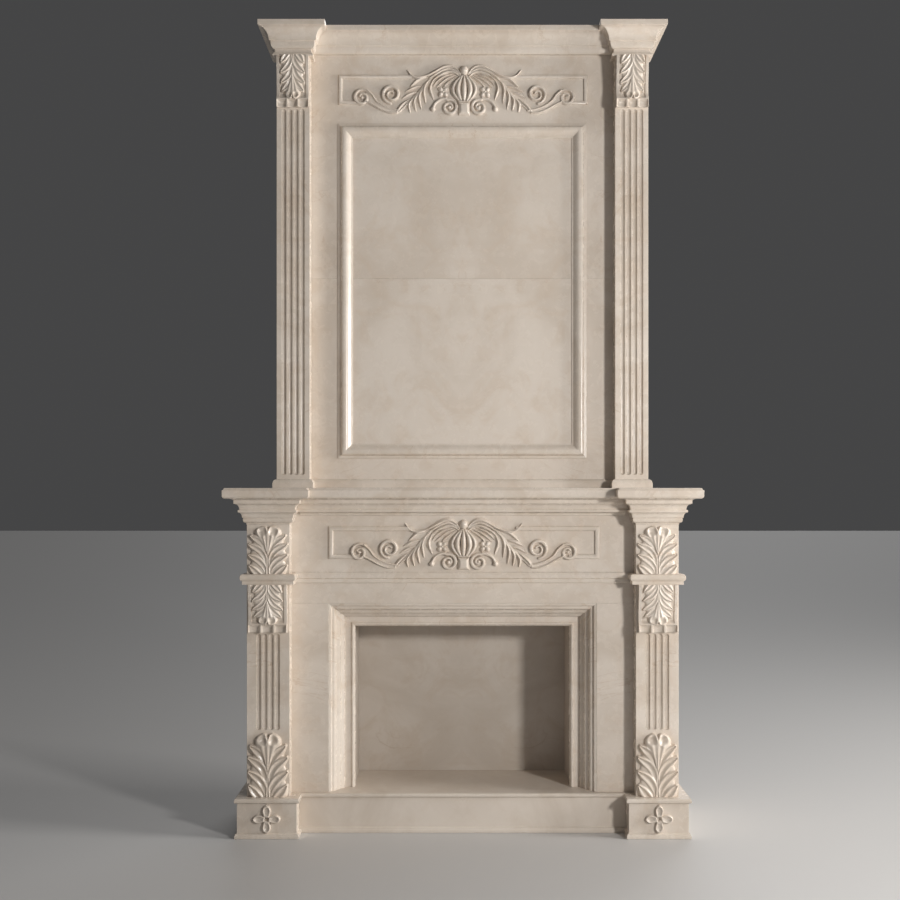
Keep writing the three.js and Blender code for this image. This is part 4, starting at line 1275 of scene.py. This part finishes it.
block_leaf = leaf_shell(
    pilaster_middle, NECKING_TOP, 1, flat(LOWER_PILASTER_FACE),
    height=174, width=142, lift=18,
)
stone_pair("leaf_block", [
    moulded(
        block_edge(CAPITAL_BOTTOM - JOINT, NECKING_TOP), *LOWER_PILASTER, LOWER_PILASTER_FACE,
        LOWER_WALL_FACE - JOINT,
    ),
    block_leaf,
], "carving")

# %% [markdown]
# ## Pilasters
# Four flutes run up each shaft. A flute is a channel with a half-round floor and rounded ends, so
# its negative is a capsule. Geometry Nodes stretch a ball into a capsule, repeat it at an even
# pitch and cut the row out of the shaft.

# %% Flute tree
FLUTE = {"count": 4, "pitch": 22.6, "radius": 8.6}


def flute_tree():
    """Cuts a row of capsules out of the mesh."""
    tree, start, end = new_tree("row_of_flutes", {
        "Count": ("Int", FLUTE["count"]),
        "Pitch": ("Float", FLUTE["pitch"]),
        "Radius": ("Float", FLUTE["radius"]),
        "Length": ("Float", 300.0),
        "First": ("Vector", (0.0, 0.0, 0.0)),
    })
    ball = add_node(tree, "GeometryNodeMeshUVSphere", Segments=28, Rings=15)
    where = tree.nodes.new("GeometryNodeInputPosition")
    parts = tree.nodes.new("ShaderNodeSeparateXYZ")
    offset = tree.nodes.new("ShaderNodeCombineXYZ")
    stretch = tree.nodes.new("GeometryNodeSetPosition")
    row = tree.nodes.new("GeometryNodeMeshLine")
    step = tree.nodes.new("ShaderNodeCombineXYZ")
    cut = add_node(tree, "GeometryNodeMeshBoolean", operation="DIFFERENCE")
    copies, real, finish = set_on_points(tree, row.outputs[0], stretch.outputs[0], "pilaster")
    half = calc(tree, "MULTIPLY", start.outputs["Length"], 0.5)
    reach = calc(tree, "MULTIPLY", calc(tree, "SIGN", parts.outputs["Z"]), half)
    wire_all(tree, (
        (start.outputs["Radius"], ball.inputs["Radius"]),
        (where.outputs[0], parts.inputs[0]),
        (reach, offset.inputs["Z"]),
        (ball.outputs["Mesh"], stretch.inputs["Geometry"]),
        (offset.outputs[0], stretch.inputs["Offset"]),
        (start.outputs["Count"], row.inputs["Count"]),
        (start.outputs["First"], row.inputs["Start Location"]),
        (start.outputs["Pitch"], step.inputs["X"]),
        (step.outputs[0], row.inputs["Offset"]),
        (start.outputs["Geometry"], cut.inputs[0]),
        (real.outputs[0], cut.inputs[1]),
        (cut.outputs[0], finish.inputs["Geometry"]),
        (finish.outputs[0], end.inputs[0]),
    ))
    return tree


row_of_flutes = flute_tree()


def fluted(name, shaft, middle, face, bottom, top):
    """The shaft with its flutes cut between two heights."""
    first = middle - (FLUTE["count"] - 1) / 2 * FLUTE["pitch"]
    return grown(name, row_of_flutes, [shaft], {
        "Length": top - bottom - 2 * FLUTE["radius"],
        "First": (first, face - 0.6, (top + bottom) / 2),
    })


# %% Lower pilasters
LOWER_FLUTES = (381.0, 727.0)

lower_shaft = fluted(
    "lower_shaft",
    moulded(block_edge(NECKING_BOTTOM, HEARTH_TOP + JOINT), *LOWER_PILASTER, LOWER_PILASTER_FACE,
            LOWER_WALL_FACE - JOINT),
    pilaster_middle, LOWER_PILASTER_FACE, *LOWER_FLUTES,
)
foot_leaf = leaf_shell(
    pilaster_middle, HEARTH_TOP + JOINT, 1, flat(LOWER_PILASTER_FACE), 1.15,
    height=229, width=143, lift=20,
)
stone_pair("lower_pilaster", [lower_shaft, foot_leaf], "pilaster")

# %% Upper pilasters
UPPER_FLUTES = (1300.0, 2646.0)
UPPER_CAPITAL_BOTTOM = TOTAL_HEIGHT - 116
upper_middle = sum(UPPER_PILASTER) / 2

upper_shaft = fluted(
    "upper_shaft",
    moulded(block_edge(UPPER_CAPITAL_BOTTOM - JOINT, SHELF_TOP + 20), *UPPER_PILASTER, UPPER_PILASTER_FACE,
            UPPER_WALL_FACE - JOINT),
    upper_middle, UPPER_PILASTER_FACE, *UPPER_FLUTES,
)
stone_pair("upper_pilaster", [
    upper_shaft,
    moulded(foot_edge, *UPPER_PILASTER, UPPER_PILASTER_FACE, UPPER_WALL_FACE - JOINT),
], "pilaster")
print("pilasters done, faces so far", totals["faces"])

# %% [markdown]
# ## Consoles
# A console sweeps in to a waist and out again to its foot. Two flat borders frame a sunk field
# with a hanging leaf, and three scoops are gouged out of the foot. The front is drawn level by
# level as a fine net of depths, so borders, field and scoops are one skin without a cut.

# %% Console bodies
BORDER = 11.0
SCOOP = {"count": 3, "height": 27.0, "depth": 14.0}
FIELD_DEPTH = 5.0
LOWER_CONSOLE = {"bottom": 734.0, "width": 140.0, "top": 26.0, "waist": 14.0, "foot": 24.0}
UPPER_CONSOLE = {"bottom": 2650.0, "width": 118.0, "top": 24.0, "waist": 13.0, "foot": 22.0}


def sweep_of(shape, top):
    """How far the console stands out from the shaft at a height."""
    height = top - shape["bottom"]

    def sweep(z):
        t = (top - z) / height
        ease = lambda s: 0.5 - 0.5 * np.cos(np.pi * np.clip(s, 0, 1))
        upper = shape["top"] + (shape["waist"] - shape["top"]) * ease(t / 0.72)
        lower = shape["waist"] + (shape["foot"] - shape["waist"]) * ease((t - 0.72) / 0.14)
        return np.where(t < 0.72, upper, lower)

    return sweep


def console_body(shape, middle, face, top):
    """The bracket with its borders, sunk field and scoops."""
    half, bottom = shape["width"] / 2, shape["bottom"]
    foot = bottom + SCOOP["height"] + 5
    soft = 1.2
    ease = [half, half - 0.4, half - soft]
    across = np.array([-v for v in ease] + np.linspace(-half + 2.4, half - 2.4, 79).tolist() + ease[::-1])
    levels = np.concatenate([np.linspace(top, foot + 4, 26), np.linspace(foot + 3, bottom, 26)])
    x, z = np.meshgrid(across, levels)
    rounded = soft - np.sqrt(np.clip(soft ** 2 - np.clip(np.abs(x) - half + soft, 0, soft) ** 2, 0, None))
    sunk = FIELD_DEPTH * np.clip((half - BORDER - np.abs(x)) / 1.5, 0, 1) * np.clip((z - foot) / 4, 0, 1)
    pitch = shape["width"] / SCOOP["count"]
    beside = (np.abs(x) + pitch / 2) % pitch - pitch / 2
    gouge = np.sqrt(np.clip(1 - (beside / (0.44 * pitch)) ** 2, 0, 1))
    run_out = np.sqrt(np.clip(1 - ((z - bottom) / SCOOP["height"]) ** 4, 0, 1))
    scooped = SCOOP["depth"] * gouge * run_out
    depth = face - sweep_of(shape, top)(z) + rounded + sunk + scooped
    rings = []
    for level, row in zip(levels, depth):
        plan = [(-half, face - JOINT), *zip(across, row), (half, face - JOINT)]
        rings.append([(middle + px, py, level) for px, py in plan])
    return loft(rings)


def console_parts(shape, middle, face, top):
    """The bracket, and the leaf that hangs in its field."""
    sweep = sweep_of(shape, top)
    field_half = shape["width"] / 2 - BORDER
    leaf = leaf_shell(
        middle, top - JOINT, -1, lambda x, z: face - sweep(z) + FIELD_DEPTH,
        height=top - shape["bottom"] - SCOOP["height"] * 0.95, width=2 * field_half - 10, lift=16,
    )
    return [console_body(shape, middle, face, top), leaf]


stone_pair("lower_console", console_parts(
    LOWER_CONSOLE, pilaster_middle, LOWER_PILASTER_FACE, NECKING_BOTTOM,
), "carving")
stone_pair("upper_console", console_parts(
    UPPER_CONSOLE, upper_middle, UPPER_PILASTER_FACE, UPPER_CAPITAL_BOTTOM - JOINT,
), "carving")
print("all stones, triangles:", totals["faces"])
